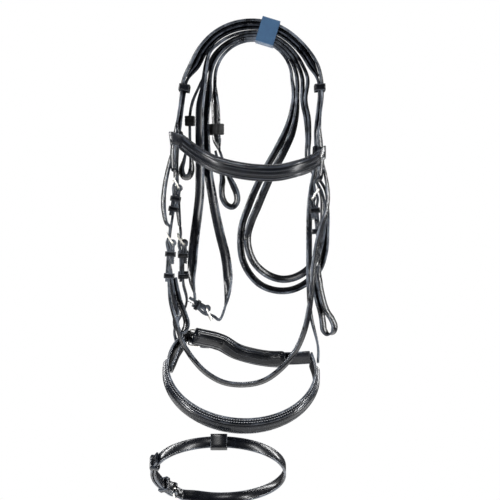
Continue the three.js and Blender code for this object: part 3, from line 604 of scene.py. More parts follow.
def strap(name, route, thick, wide, body, across=(0, 1, 0), section=None, look=STRAP_LEATHER, tips=(0, 0),
          replaced=(), flex=None, cuts=(), twist=None, thin=(1, 1)):
    """A strap or a cushion along a route. With flex, body is the pair of bodies that it spans, and the piece
    goes on neither.
    """
    path = Path(route, across, twist=twist)
    verts, faces, edge = sweep(path, section or flat_section(thick, wide), tips, thin)
    obj = make(name, verts, faces, look, edge)
    shade_by_angle(obj)
    if cuts:
        cut_slots(obj, cuts)
        shade_by_angle(obj)
    settle(obj, body, replaced, look, flex)
    return path


def stitches(name, spots, body, look=DARK_THREAD, size=(1.3, 0.42)):
    """Thread in short rounded runs. A spot is (place, direction, normal), a size (half length, radius)."""
    shells = []
    long, fat = size
    for place, along, normal in spots:
        side = unit(np.cross(normal, along))
        verts = [place - along * long]
        for s, r in ((-0.62, 0.85), (0.0, 1.1), (0.62, 0.85)):
            middle = place + along * long * s
            verts += [middle + (side * x + normal * y) * fat * r for x, y in circle(1, 5)]
        verts.append(place + along * long)
        shells.append((verts, spindle_faces(3, 5), []))
    settle(make(name, *merged(shells)[:2], look), body, (), look)


def steps(start, end, pitch):
    """Distances from start, a pitch apart, that stay below end."""
    while start < end:
        yield start
        start += pitch


def rows_along(path, offsets, height, start, end):
    """Stitch spots in rows beside each other. height is a number or a function of the offset."""
    spots = []
    for offset in offsets:
        lift = height(offset) if callable(height) else height
        for run in steps(start, end, 3.4):
            place, tangent, wide, normal = path.frame_at(run)
            spots.append((place + wide * offset + normal * lift, tangent, normal))
    return spots


def chape_stitches(name, at, wide, body, hidden):
    """Two rows down a chape and one across its end, on both faces, save where a keeper hides them."""
    spots = []
    first, pitch = -TURN_BACK + 1.5, 3.3
    for face in (-1, 1):
        lift = face * (LAYER + CHAPE_THICK / 2)
        for w in (-wide / 2 + SEW_IN, wide / 2 - SEW_IN):
            for u in steps(first, -8.5, pitch):
                if not hidden[0] < u < hidden[1]:
                    spots.append((at.at(u, lift, w), at.up, at.out * face))
        for w in steps(-wide / 2 + 4.6, wide / 2 - 3.5, pitch):
            spots.append((at.at(first, lift, w), at.wide, at.out * face))
    stitches(name, spots, body)


def ring_loop(outline, place, x, y, z, section):
    """A closed section swept round an outline drawn in axes x and y, its width along z."""
    points = np.array([place + x * a + y * b for a, b in outline])
    count = len(points)
    verts = []
    for i in range(count):
        normal = np.cross(unit(points[(i + 1) % count] - points[i - 1]), z)
        verts += [points[i] + normal * a + z * b for a, b, _ in section]
    edge = [e for _, _, e in section] * count
    return verts, ring_faces(count, len(section), closed=True), edge


def round_rect(x0, y0, x1, y1, r, per_side=6):
    """Outline of a rectangle with rounded corners, its straight sides split into equal parts."""
    per_corner = 5
    points = []
    left, low, right, high = x0 + r, y0 + r, x1 - r, y1 - r
    for cx, cy, start in ((right, high, 0), (left, high, 90), (left, low, 180), (right, low, 270)):
        for k in range(per_corner + 1):
            a = math.radians(start + 90 * k / per_corner)
            points.append((cx + r * math.cos(a), cy + r * math.sin(a)))
    filled = []
    for i, p in enumerate(points):
        q = points[(i + 1) % len(points)]
        parts = per_side if math.dist(p, q) > r else 1
        filled += [(p[0] + (q[0] - p[0]) * k / parts, p[1] + (q[1] - p[1]) * k / parts) for k in range(parts)]
    return filled


def keeper(name, at, u, wide, body, long=7.0, n0=UNDER_TURN_BACK, n1=OVER_BILLET):
    """A leather band round a strap of a given width, from n0 to n1 through its layers."""
    side = wide / 2 + 0.5
    t = KEEPER_THICK
    outline = round_rect(n0 - t / 2, -side - t / 2, n1 + t / 2, side + t / 2, 1.5)
    r = 0.45
    section = []
    for sx, sy, start in ((1, 1, 0), (-1, 1, 90), (-1, -1, 180), (1, -1, 270)):
        for k in range(3):
            a = math.radians(start + 45 * k)
            section.append((sx * (t / 2 - r) + r * math.cos(a), sy * (long / 2 - r) + r * math.sin(a), 1.0))
        if start in (90, 270):
            face = 1 if start == 270 else -1
            for y in (-1, 1):
                for dy, dip in ((-0.4, 0), (0, 0.2), (0.4, 0)):
                    section.append((face * (t / 2 - dip), face * ((long / 2 - 1.3) * y + dy), 0.0))
    band = ring_loop(outline, at.at(u, 0), at.out, at.wide, at.up, section)
    solid(name + "_band", [band], STRAP_LEATHER, body, name)


def round_section(r, around, squash):
    return [(x, y, 0.0) for x, y in circle(r, around, squash)]


def tube(points, radii, around, side):
    """A round bar through points, with radii spread evenly along it."""
    path = Path(points, side, step=0.7)
    where = np.linspace(0, 1, len(radii))
    verts = []
    for place, normal, wide, run in zip(path.place, path.normal, path.wide, path.run):
        r = np.interp(run / path.run[-1], where, radii)
        verts += [place + (normal * x + wide * y) * r for x, y in circle(1, around)]
    return verts, ring_faces(len(path.place), around), [0.0] * len(verts)


def blob(place, axes, radii, power=0.55):
    """A softened block: a superellipsoid on three axes."""
    rings, around = 8, 14

    def bend(v):
        return math.copysign(abs(v) ** power, v)

    verts = [place - axes[2] * radii[2]]
    for i in range(1, rings):
        lat = math.pi * i / rings - math.pi / 2
        for x, y in circle(1, around):
            local = (bend(math.cos(lat)) * bend(x), bend(math.cos(lat)) * bend(y), bend(math.sin(lat)))
            verts.append(place + sum(axes[j] * radii[j] * local[j] for j in range(3)))
    verts.append(place + axes[2] * radii[2])
    return verts, spindle_faces(rings - 1, around), [0.0] * len(verts)


def buckle(prefix, suffix, at, wide, body, prong_body):
    """Cast frame with a rolled front bar, and the prong that turns on its heel bar."""
    along = at.up * math.cos(FRAME_TILT) + at.out * math.sin(FRAME_TILT)
    normal = np.cross(along, at.wide)
    inside = wide / 2 + 0.6 + BAR / 2
    outline = round_rect(-inside, 0, inside, FRAME_LONG, 2.6, 4)
    bars = ring_loop(outline, at.origin, at.wide, along, normal, round_section(BAR / 2 - 0.08, 12, 0.92))
    front = at.origin + along * FRAME_LONG
    reach = at.wide * (wide / 2 - 1.2)
    roller = tube([front - reach, front + reach], [1.1, 1.55, 1.62, 1.62, 1.62, 1.55, 1.1], 14, at.out)
    solid(f"{prefix}_buckle{suffix}_frame", [bars, roller], STEEL, body, f"{prefix}_buckle{suffix}")
    turn, wire = circle(BAR / 2 + 0.85, 20), round_section(0.62, 8, 2.0)
    eye = ring_loop(turn, at.origin, at.up, at.out, at.wide, wire)
    lift = np.cross(at.wide, along)
    high = 2.35  # from the frame's middle plane to the middle of the prong where it rests on the front bar
    bend = ((1.2, 2.2), (5, 2.65), (10, high), (FRAME_LONG - 1.5, high), (FRAME_LONG + 1.9, high - 0.1))
    arm = tube(
        [at.origin + along * a + lift * b for a, b in bend], [0.85, 0.95, 0.9, 0.8, 0.62, 0.5], 10, at.wide
    )
    solid(f"{prefix}_prong{suffix}_pin", [eye, arm], STEEL, prong_body, f"{prefix}_prong{suffix}")


def hook_stud(name, place, towards, along, reach, body):
    """A stud with a foot in the strap, a waisted neck and a hooked head beyond the outer layer."""
    at = Station(place, along, towards)
    axes = (at.up, at.wide, at.out)
    neck = [at.at(-0.1, 0.2), at.at(-0.1, reach / 2), at.at(-0.1, reach + 0.4)]
    parts = [
        blob(at.at(0, 0.4), axes, (4, 2.4, 0.42)),
        tube(neck, [1.25, 0.95, 1.15], 10, at.wide),
        blob(at.at(1.6, reach + 0.7), axes, (2.9, 2.1, 0.7), 0.75),
    ]
    solid(name + "_cast", parts, STEEL, body, name)


# What is cut for a hook stud, for the prong where a chape folds, and for the prong through a billet.


def stud_cut(place, towards, along, reach):
    return (Station(place, along, towards), -2, 5.5, 1, reach + 3, 2.6)


def chape_cut(at):
    return (at, -5.5, 9, -8, 8, 2.4)


def billet_cut(at):
    return (at, 1.5, 13, 0.5, 12, 1.9)


def spare_holes(at, count):
    """Round punched holes further along a billet."""
    r, first, pitch = 1.3, -12, 9
    return [(at, first - pitch * k - r, first - pitch * k + r, 2, 12, r) for k in range(count)]


# --- Crown: headpiece, pad, headstrap and label ---

REIN_LAYER = 3.6  # room that each rein layer takes over the bracket
FAN = 3  # how far each layer stands off the one inside it, low on the sides
ARC_STEP = 15  # degrees between the points of an arc


def rein_arc(layer, start, end, y0=0.0, y1=0.0):
    """A rein's turn over the bracket, in degrees from +X: layers touch on top and fan apart below."""
    count = round(abs(end - start) / ARC_STEP)
    radius = BRACKET_R + 0.1 + REIN_LAYER / 2 + layer * (REIN_LAYER + 0.5)
    points = []
    for i in range(count + 1):
        a = math.radians(start + (end - start) * i / count)
        r = radius + layer * FAN * (1 - math.sin(a)) ** (1 if math.cos(a) < 0 else 2)
        points.append((r * math.cos(a), y0 + (y1 - y0) * i / count, r * math.sin(a) - BRACKET_R))
    return points


CROWN_LINE = [
    (-104, 0, -118), (-100.5, 0, -93), (-97.5, 0, -71), (-94.2, 0, -50), (-85, 0, -29), (-72.5, 0, -6),
    (-53.5, 0, 13.7), (-28, 0, 26.2), (0, 0, 29.9), (28, 0, 24.8), (49.5, 0, 13.6), (72, 0, -7.5),
    (86, 0, -29), (91.5, 0, -50), (92.8, 0, -71), (90.8, 0, -93), (88.6, 0, -118),
]
CROWN_THICK = 3.4
TONGUE_THICK = 3.2
TONGUE_Y = 9.3  # the headpiece splits into two tongues, one each side of its middle
headpiece_path = strap(
    "headpiece_crown", CROWN_LINE, CROWN_THICK, CROWN_WIDE, "crown", replaced="headpiece",
    section=flat_section(CROWN_THICK, CROWN_WIDE, 2.2), twist={0: 0, 3: -6, 13: -6, 16: 0},
)
stitches(
    "headpiece_stitching", rows_along(headpiece_path, (-13.4, 13.4), CROWN_THICK / 2, 62, 268), "crown"
)

POLL_THICK, POLL_WIDE, POLL_WELT = 7.5, 30, 2.2
PAD_FIRST, PAD_LAST = 4, 12  # the headpiece route points between which the poll pad is full
PAD_TIP = 0.8  # how far each thinned end reaches towards the headpiece's next route point
PAD_INSET = CROWN_THICK / 2 + GAP + POLL_THICK / 2
PAD_TIP_INSET = CROWN_THICK / 2 + GAP + 0.9


def past_pad(i, j):
    """A point past the headpiece route point j, towards its neighbour i."""
    return vec(*CROWN_LINE[i]) * PAD_TIP + vec(*CROWN_LINE[j]) * (1 - PAD_TIP)


pad_line = [
    past_pad(PAD_FIRST - 1, PAD_FIRST),
    *CROWN_LINE[PAD_FIRST : PAD_LAST + 1],
    past_pad(PAD_LAST + 1, PAD_LAST),
]
pad_insets = [PAD_TIP_INSET] + [PAD_INSET] * (len(pad_line) - 2) + [PAD_TIP_INSET]
strap(
    "poll_pad_cushion", beside(pad_line, pad_insets), POLL_THICK, POLL_WIDE, "crown", replaced="poll_pad",
    section=[(-x, y, e) for x, y, e in reversed(padded_section(POLL_THICK, POLL_WIDE, POLL_WELT))],
    look=PAD_LEATHER, thin=(0.2, 19),
)

# The headstrap runs under the poll pad and rises to the headpiece's inside past the pad's ends.
HEADSTRAP_LANE = 11
HEADSTRAP_RISE = 6.8  # rise at each route point past the pad
UNDER_PAD = PAD_INSET + POLL_THICK / 2 + GAP + LEATHER / 2
UNDER_CROWN = CROWN_THICK / 2 + GAP + LEATHER / 2
headstrap_insets = [
    max(UNDER_PAD - HEADSTRAP_RISE * max(PAD_FIRST - i, i - PAD_LAST, 0), UNDER_CROWN + 0.2)
    for i in range(len(CROWN_LINE))
]

NOSE = Station((-94, 15, -272), (0, -0.22, 0.975), (-1, 0, 0))

# The noseband is an arc of a ring that is tilted back and rolled a little.
NOSE_CENTRE = vec(-16.5, 2, -446)
NOSE_R = 100.5
tilt, roll = math.radians(41), math.radians(4)


def tilted(v):
    """Turns a direction back about X, then rolls it about Y."""
    x, y, z = v
    y, z = y * math.cos(tilt) - z * math.sin(tilt), y * math.sin(tilt) + z * math.cos(tilt)
    return vec(x * math.cos(roll) + z * math.sin(roll), y, -x * math.sin(roll) + z * math.cos(roll))


RING_RIGHT, RING_BACK = tilted((1, 0, 0)), tilted((0, 1, 0))
RING_ACROSS = np.cross(RING_RIGHT, RING_BACK)


def on_ring(degrees, r=NOSE_R):
    a = math.radians(degrees)
    return NOSE_CENTRE + RING_RIGHT * (r * math.cos(a)) + RING_BACK * (r * math.sin(a))


RING_STEP = 14
LEFT_END, RIGHT_END = 150, 380  # where the noseband's front starts and ends, in degrees round the ring


def ring_arc(start, end, r):
    count = round(abs(end - start) / RING_STEP)
    return [on_ring(start + (end - start) * i / count, r) for i in range(count + 1)]


left_junction = on_ring(LEFT_END, NOSE_R + 6)
right_junction = on_ring(RIGHT_END - 5, NOSE_R + 6)

headstrap_route = [
    *reversed(billet_through(NOSE, 52)),
    (-100, 10, -246.5), (-103, HEADSTRAP_LANE, -215), (-104.8, HEADSTRAP_LANE, -185), (-105, 7, -160),
    (-102.9, 2, -136),
    *beside(CROWN_LINE, headstrap_insets),
    (85.2, 0, -134), (86.6, 3, -152), (84, 8, -172), (78.5, HEADSTRAP_LANE, -200),
    (76, HEADSTRAP_LANE, -225), (75.5, HEADSTRAP_LANE, -243), (75.4, HEADSTRAP_LANE, -275),
    (75.8, 14, -320), (77.5, 22, -365),
    right_junction + vec(0.5, -3, 22), right_junction + vec(0.5, 0, 0),
]
headstrap_across = [NOSE.wide * -1] * 9 + [(0, 1, 0)] * (len(headstrap_route) - 9)
strap(
    "noseband_headstrap_long", headstrap_route, LEATHER, NOSE_STRAP_WIDE, ("crown", "noseband"),
    across=headstrap_across, replaced=("noseband_headstrap", "noseband_billet", "noseband_cheek_right"),
    tips=(0, 7), flex=((0, 0, -0.222), (0, 0, -0.256)), cuts=[billet_cut(NOSE), *spare_holes(NOSE, 4)],
    twist={7: 0, 9: -24, 12: -22, 14: -8, 28: -8, 30: -22, 37: -28, 39: 0},
)

for side, place, along, out in (
    ("left", (-96.2, 0, -62), (3.2, 0, 21), (-1, 0, 0)), ("right", (92.6, 0, -62), (-1, 0, 21), (1, 0, 0))
):
    keeper(f"headpiece_loop_{side}", Station(place, along, out), 0, CROWN_WIDE, "crown", 9, -8.8, 2.6)

# The label is a flat woven band with turned edges, wrapped round the crown and the reins over it.
BUNDLE_IN, BUNDLE_OUT = BRACKET_R - 0.4, 82.6
LABEL_SECTION = [
    (0.4, -12.4, 1), (0.65, -11.6, 1), (0.5, -10.9, 0), (0.5, 10.9, 0), (0.65, 11.6, 1), (0.4, 12.4, 1),
    (-0.4, 12.4, 1), (-0.4, -12.4, 1),
]
label_angle = math.radians(73)
label_out = vec(math.cos(label_angle), 0, math.sin(label_angle))
label_along = vec(math.sin(label_angle), 0, -math.cos(label_angle))
label_place = label_out * (BUNDLE_IN + BUNDLE_OUT) / 2 - vec(0, 0, BRACKET_R)
half, side = (BUNDLE_OUT - BUNDLE_IN) / 2 + 0.4, CROWN_WIDE / 2 + 0.9
label_round = round_rect(-half, -side, half, side, 1.6, 10)
label = ring_loop(label_round, label_place, label_out, vec(0, 1, 0), label_along, LABEL_SECTION)
solid("label_band_wrap", [label], DENIM, "crown", "label_band")

# --- Reins ---

CENTRE = Station((-63, 0, -360), (0.88, 0, -0.48), (-0.48, 0, -0.88))  # the buckle that joins the reins
STUD_A = ((-43.4, 0, -158.5), (-1, 0, -0.3), (-0.3, 0, 1), 6.7)
STUD_B = ((-87.2, 9, -146), (-1, 0, 0), (0, 0, 1), 6.8)
RIGHT_REIN = [
    (-51.5, 0, -147), (-48.5, 0, -158), (-44, 0, -172), (-41.8, 0, -186), (-42.8, 0, -197),
    (-41.8, 0, -210), (-36, 0, -220), (-28, 0, -222.5), (-22.5, 0, -216), (-22.5, 0, -206), (-27, 0, -194),
    (-33, 0, -182), (-38, 0, -170), (-42, 0, -157), (-46.5, 0, -144), (-50, 0, -128), (-50.5, 0, -105),
    (-51.8, 0, -75),
    *rein_arc(0, 180, 0),
    (54.8, 0, -72), (52.5, -2, -95), (45, -4, -118), (33, -5, -142), (18, -5, -169), (4, -5, -196),
    (-7, -5, -223), (-15, -5, -246), (-17.5, -4, -270), (-14.5, -2, -294), (-5, 1, -313), (10, 8, -328),
    (30, 16, -335.5), (52, 25, -335), (73, 32, -325), (89, 31, -308), (97, 28, -284), (100, 26, -255),
    (101, 25, -225), (98, 25, -199), (86, 25, -178), (76.4, 18, -155), (76, 9, -128), (75, 2, -103),
    (70.5, 0, -78),
    *rein_arc(3, 0, 90), *rein_arc(3, 105, 150, -1.5, -7.5),
    (-68, -8.5, -65), (-71.5, -8.5, -85), (-72.4, -8, -105), (-72.2, -7, -140), (-72.2, -5, -175),
    (-72.6, -3, -205), (-75.6, -1, -234), (-79.7, 0, -266), (-82.5, 0, -298), (-83, 0, -322),
    (-79.5, 0, -340),
    *reversed(chape_fold(CENTRE)),
]
LEFT_REIN = [
    (-90.6, 9, -128), (-91.6, 9, -147), (-94.6, 9, -161), (-97.5, 9, -172), (-94, 9, -181.5),
    (-88, 9, -181.5), (-84, 9, -173), (-84, 9, -160), (-85.6, 9, -142), (-86.2, 9, -120), (-86, 9, -98),
    (-82.5, 9, -80), (-74, 9, -60), (-64, 9, -40),
    *rein_arc(2, 150, 105, 8.5, 1.5), *rein_arc(2, 90, 0),
    (66, 0, -80), (70.6, 2, -104), (72.4, 9, -129), (72, 18, -155), (82.5, 25, -180), (92.5, 25, -203),
    (95.6, 24, -228), (94, 26, -255), (89, 28, -280), (79, 29.5, -302), (61, 25, -316), (40, 17, -320.5),
    (19, 9, -314), (2, 2, -299), (-6.5, -2, -280), (-8, -4, -262), (-3, -5, -243), (6, -5, -222),
    (13, -5, -205), (25, -5, -178), (40, -5, -150), (51.5, -4, -124), (57.5, -2, -98), (59.2, 0, -74),
    *rein_arc(1, 0, 180),
    (-60.5, 0, -72), (-65, 0, -98), (-64.4, 0, -136), (-60.6, 0, -178), (-56.4, 0, -203), (-50.8, 0, -234),
    (-44.5, 0, -262), (-38, 0, -288), (-34.6, 0, -315), (-35, 0, -338), (-38, 0, -356),
    *billet_through(CENTRE, 20),
]
REIN_THICK = 3.5
STOP_LEAN = -42  # degrees that the right rein leans where its stop slides
strap(
    "rein_right_strap", RIGHT_REIN, REIN_THICK, REIN_WIDE, "crown", tips=(0, 4), replaced="rein_right",
    cuts=[chape_cut(CENTRE), stud_cut(*STUD_A)],
    twist={
        1: 0, 3: -20, 10: -25, 12.5: 0, 13.9: 0, 14.7: STOP_LEAN, 16.6: STOP_LEAN, 17.6: -7, 30: -7,
        32: -28, 47: -28, 49.5: 0, 52: 0, 53: 10, 66: 10, 68: 42, 75: 55, 77: 0,
    },
)
strap(
    "rein_left_strap", LEFT_REIN, REIN_THICK, REIN_WIDE, "crown", tips=(6, 4), replaced="rein_left",
    cuts=[billet_cut(CENTRE), stud_cut(*STUD_B)],
    twist={
        1: 0, 3: 22, 6: 22, 8: 0, 11: 0, 14: -13, 26: -13, 28: 0, 29.5: 0, 31: 26, 35: 32, 46: 32, 48: 13,
        61: 13, 63: 42, 70: 55, 72: 0,
    },
)
buckle("rein", "", CENTRE, REIN_WIDE, "crown", "rein_prong")
keeper("rein_keeper", CENTRE, -13.5, REIN_WIDE, "crown", 5)
chape_stitches("rein_chape_stitching", CENTRE, REIN_WIDE, "crown", (-17, -10))
hook_stud("rein_hook_stud_right", *STUD_A, "crown")
hook_stud("rein_hook_stud_left", *STUD_B, "crown")


def rein_stop(name, place, long, lean):
    """A moulded stop: a block with softened corners round a slot, grooved near its ends."""
    a = math.radians(lean)
    at = Station(place, (0, 0, 1), (-math.cos(a), math.sin(a), 0))
    wall = 3.4
    t, n, w = wall / 2, 6.8 - wall / 2, 11 - wall / 2
    rows = (
        (t, -0.42), (t, -0.3), (t - 0.35, -0.25), (t, -0.2), (t, 0.2), (t - 0.35, 0.25), (t, 0.3),
        (t, 0.42), (t - 0.7, 0.49), (0, 0.5), (0.3 - t, 0.49), (-t, 0.44), (-t, -0.44), (0.3 - t, -0.49),
        (0, -0.5), (t - 0.7, -0.49),
    )
    section = [(x, y * long, 0.0) for x, y in rows]
    block = ring_loop(round_rect(-n, -w, n, w, 2.2, 5), at.origin, at.out, at.wide, at.up, section)
    solid(name + "_block", [block], RUBBER, name, name, 40)


rein_stop("rein_stop_right", (-50.4, 0, -118), 15, STOP_LEAN)
rein_stop("rein_stop_left", (-86.1, 9, -106), 13, 0)

# --- Browband ---

BROWBAND_FRONT = [
    (-110.9, -20, -130.5), (-105.5, -28, -132), (-93, -38, -137.5), (-77, -55, -150.5),
    (-61, -68.5, -161.5), (-43, -78.5, -170), (-21, -85.5, -176), (4, -88, -179.5), (30, -84.5, -179.5),
    (52, -73.5, -174.5), (70, -58, -168), (84, -41, -159), (92, -29, -152),
]
BROWBAND_ACROSS = [
    (-0.18, 0, 1), (-0.18, -0.1, 1), (-0.1, -0.2, 1), (0, -0.25, 1), (0, -0.25, 1), (0, -0.2, 1),
    (0.05, -0.1, 1), (0, 0, 1),
]
BROWBAND_THICK = 2.4
strap(
    "browband_strap",
    [
        (-98.4, -25, -130), (-95.9, -14, -129.6), (-95.9, 0, -129.6), (-95.9, 15.5, -129.6),
        (-98.6, 19, -130), (-105, 20, -131), (-109.5, 19, -131.7), (-111.8, 15.5, -132), (-111.8, 0, -132),
        (-111.6, -14, -131),
        *BROWBAND_FRONT,
        (95.4, -20, -149.5), (96, -8, -149.5), (96, 5, -149.5), (96, 15.5, -149.5), (93.5, 19, -149.5),
        (88.7, 20, -149.5), (84, 19, -149.5), (81.6, 15.5, -149.5), (81.6, 0, -149.5), (81.6, -14, -149.5),
        (83.4, -27, -150),
    ],
    BROWBAND_THICK, 17, "browband", across=BROWBAND_ACROSS, replaced="browband",
)
BROW_PAD_WIDE, BROW_PAD_THICK = 22.5, 5
brow_across = (0, -0.2, 1)
brow_path = strap(
    "browband_pad",
    beside(BROWBAND_FRONT[-2:1:-1], BROWBAND_THICK / 2 + GAP + BROW_PAD_THICK / 2 + 0.4, brow_across),
    BROW_PAD_THICK, BROW_PAD_WIDE, "browband", across=brow_across, replaced="browband_padding",
    section=padded_section(BROW_PAD_THICK, BROW_PAD_WIDE), look=PAD_LEATHER,
)

# --- Cheekpieces ---


def cheek(side, at, crown_route, route, flat_to, stud, tail, keeper_u, runner_u, flex_z, holes):
    """A cheekpiece that ends in its bit loop, and the headpiece tongue that is its billet.

    The strap faces sideways for flat_to points below its chape, then turns half forwards.
    """
    lean = -26 * at.wide[1]
    forwards = vec(0, -0.5, 0) + at.out * 0.866
    turned = unit(np.cross(forwards, at.up) * -1)
    fold = chape_fold(at)
    keys = [at.wide] * (len(fold) + flat_to) + [turned] * (len(route) - flat_to)
    body = f"cheek_{side}"
    strap(
        f"cheekpiece_{side}_strap", [*fold, *route], CHAPE_THICK, CHEEK_WIDE, body, across=keys, tips=(4, 0),
        replaced=f"cheekpiece_{side}", cuts=[chape_cut(at), stud_cut(*stud)],
    )
    strap(
        f"cheek_billet_{side}_strap", [*crown_route, *billet_through(at, tail)], TONGUE_THICK, CHEEK_WIDE,
        ("crown", body), across=at.wide, tips=(7, 0), replaced=f"cheek_billet_{side}",
        flex=((0, 0, (flex_z + 11) * MM), (0, 0, (flex_z - 11) * MM)),
        cuts=[billet_cut(at), *spare_holes(at, holes)],
        twist={0: 0, 2: lean, len(crown_route) - 1: lean, len(crown_route): 0},
    )
    chape_stitches(f"cheek_chape_{side}_stitching", at, CHEEK_WIDE, body, (keeper_u - 4, keeper_u + 4))
    buckle("cheek", f"_{side}", at, CHEEK_WIDE, body, f"cheek_prong_{side}")
    keeper(f"cheek_keeper_{side}", at, keeper_u, CHEEK_WIDE, body)
    keeper(f"cheek_runner_{side}", at, runner_u, CHEEK_WIDE, f"cheek_runner_{side}")
    hook_stud(f"cheek_hook_stud_{side}", *stud, body)


LEFT_CHEEK = Station((-100.5, -8, -197.5), (0.17, 0, 0.985), (-1, 0, 0.17))
cheek(
    "left", LEFT_CHEEK,
    [
        (-101.5, -TONGUE_Y, -100), (-104, -TONGUE_Y, -118), (-107, -TONGUE_Y, -137), (-108.2, -8.5, -152),
        (-107.7, -8, -165), (-106.8, -8, -172),
    ],
    [
        LEFT_CHEEK.at(-40, LAYER),
        (-112, -8, -257), (-114.2, -8, -283), (-113.4, -8, -309),
        (-110.6, -8, -331), (-106, -8, -352), (-103.4, -8, -366), (-104.4, -8, -378), (-102.4, -8, -387),
        (-97, -8, -391), (-91.8, -8, -387), (-90, -8, -378), (-93.4, -8, -366), (-99.6, -8, -350),
        (-104.6, -8, -331), (-107, -8, -318),
    ],
    flat_to=3, stud=((-107.2, -7, -338), (0.866, 0.5, 0), (-0.2, 0, 1), 5.6),
    tail=38, keeper_u=-15, runner_u=-29, flex_z=-165.4, holes=1,
)
RIGHT_CHEEK = Station((79, -8, -212), (-0.1, 0, 0.995), (1, 0, 0.1))
cheek(
    "right", RIGHT_CHEEK,
    [
        (90.2, -TONGUE_Y, -100), (88.6, -TONGUE_Y, -118), (89, -TONGUE_Y, -134), (90.5, -TONGUE_Y, -150),
        (91, -8.5, -163), (89.9, -8, -175.5), (88.6, -8, -184),
    ],
    [
        RIGHT_CHEEK.at(-34, LAYER), RIGHT_CHEEK.at(-64, LAYER), (88.2, -8, -296), (88.4, -8, -322),
        (92.5, -8, -345), (98, -8, -362), (105.5, -8, -374), (109, -8, -384), (106.6, -8, -392),
        (100.5, -8, -394), (95, -8, -389), (93.4, -8, -379), (91.4, -8, -366), (86.6, -8, -348),
        (82.8, -8, -325), (81.6, -8, -306),
    ],
    flat_to=3, stud=((87, -7, -326), (-0.866, 0.5, 0), (-0.1, 0, 1), 5.6),
    tail=60, keeper_u=-16, runner_u=-44, flex_z=-175.4, holes=3,
)

# --- Throatlash ---

THROAT_LANE = -30
THROAT = Station((-108.1, THROAT_LANE, -271.5), (0.06, 0, 1), (-1, 0, 0))
THROAT_FLEX = ((0, 0, -0.226), (0, 0, -0.258))
THROAT_HANG = [  # x and z of the hanging curve
    (-111, -349), (-104, -374), (-94.5, -404), (-80.9, -426), (-62.6, -445), (-39.5, -457.5),
    (-11.9, -460.5), (14, -455), (36.7, -439), (55.4, -416.5), (67, -391), (74, -362), (78, -330),
    (80.6, -300), (85, -272),
]
strap(
    "throatlash_strap",
    [
        *chape_fold(THROAT), THROAT.at(-34, LAYER), THROAT.at(-56, LAYER),
        *((x, THROAT_LANE, z) for x, z in THROAT_HANG),
        (90.9, -29.5, -248), (97.5, -24, -228), (100, -10, -203), (97, 3, -178), (90.7, TONGUE_Y, -151),
        (89, TONGUE_Y, -134), (88.6, TONGUE_Y, -118), (90.2, TONGUE_Y, -100),
    ],
    CHAPE_THICK, THROAT_WIDE, ("crown", "throat"), tips=(0, 4), replaced="throatlash", flex=THROAT_FLEX,
    cuts=[chape_cut(THROAT)],
    twist={12: 0, 14: 24, 17: 32, 22: 32, 27: 28, 30: 20, 32: 8, 35: 0},
)
strap(
    "throat_billet_strap",
    [
        *reversed(billet_through(THROAT, 52)), (-116, THROAT_LANE, -245), (-120.5, -22, -222),
        (-119.5, -8, -195), (-114, 4, -165), (-107.2, TONGUE_Y, -138), (-104, TONGUE_Y, -118),
        (-101.5, TONGUE_Y, -100),
    ],
    TONGUE_THICK, THROAT_WIDE, ("crown", "throat"), tips=(0, 6), replaced="throat_billet", flex=THROAT_FLEX,
    cuts=[billet_cut(THROAT), *spare_holes(THROAT, 4)], twist={7: 0, 9: -26, 11: -20, 13: 0},
)


def fittings(prefix, at, wide, body):
    """The buckle of a hanging strap, its sewn keeper, its sliding runner and its chape's stitching."""
    keeper_u, runner_u = -15, -44
    buckle(prefix, "", at, wide, body, f"{prefix}_prong")
    keeper(f"{prefix}_keeper", at, keeper_u, wide, body)
    keeper(f"{prefix}_runner", at, runner_u, wide, f"{prefix}_runner")
    chape_stitches(f"{prefix}_chape_stitching", at, wide, body, (keeper_u - 4, keeper_u + 4))


fittings("throat", THROAT, THROAT_WIDE, "throat")

# --- Noseband ---

NOSE_BACK, NOSE_WIDE = 3, 28
NOSE_PAD_WIDE, NOSE_PAD_THICK = 22, 5
front_path = strap(
    "noseband_front_strap", ring_arc(LEFT_END, RIGHT_END, NOSE_R - 1), NOSE_BACK, NOSE_WIDE, "noseband",
    across=RING_ACROSS, replaced="noseband_front",
)
nose_path = strap(
    "noseband_pad",
    ring_arc(
        RIGHT_END - RING_STEP, LEFT_END + 2 * RING_STEP, NOSE_R - 1 + (NOSE_BACK + NOSE_PAD_THICK) / 2 + GAP
    ),
    NOSE_PAD_THICK, NOSE_PAD_WIDE, "noseband", across=RING_ACROSS, replaced="noseband_padding",
    section=padded_section(NOSE_PAD_THICK, NOSE_PAD_WIDE), look=PAD_LEATHER,
)
strap(
    "noseband_cheek_left_strap",
    [
        *chape_fold(NOSE), NOSE.at(-34, LAYER), NOSE.at(-56, LAYER), (-91.5, 36, -352),
        left_junction + vec(-2, -6, 16), left_junction + vec(0, 0, -2),
    ],
    CHAPE_THICK, NOSE_STRAP_WIDE, "noseband", across=NOSE.wide, tips=(3, 0), replaced="noseband_cheek_left",
    cuts=[chape_cut(NOSE)],
)
fittings("noseband", NOSE, NOSE_STRAP_WIDE, "noseband")

# --- Chin strap and pad ---

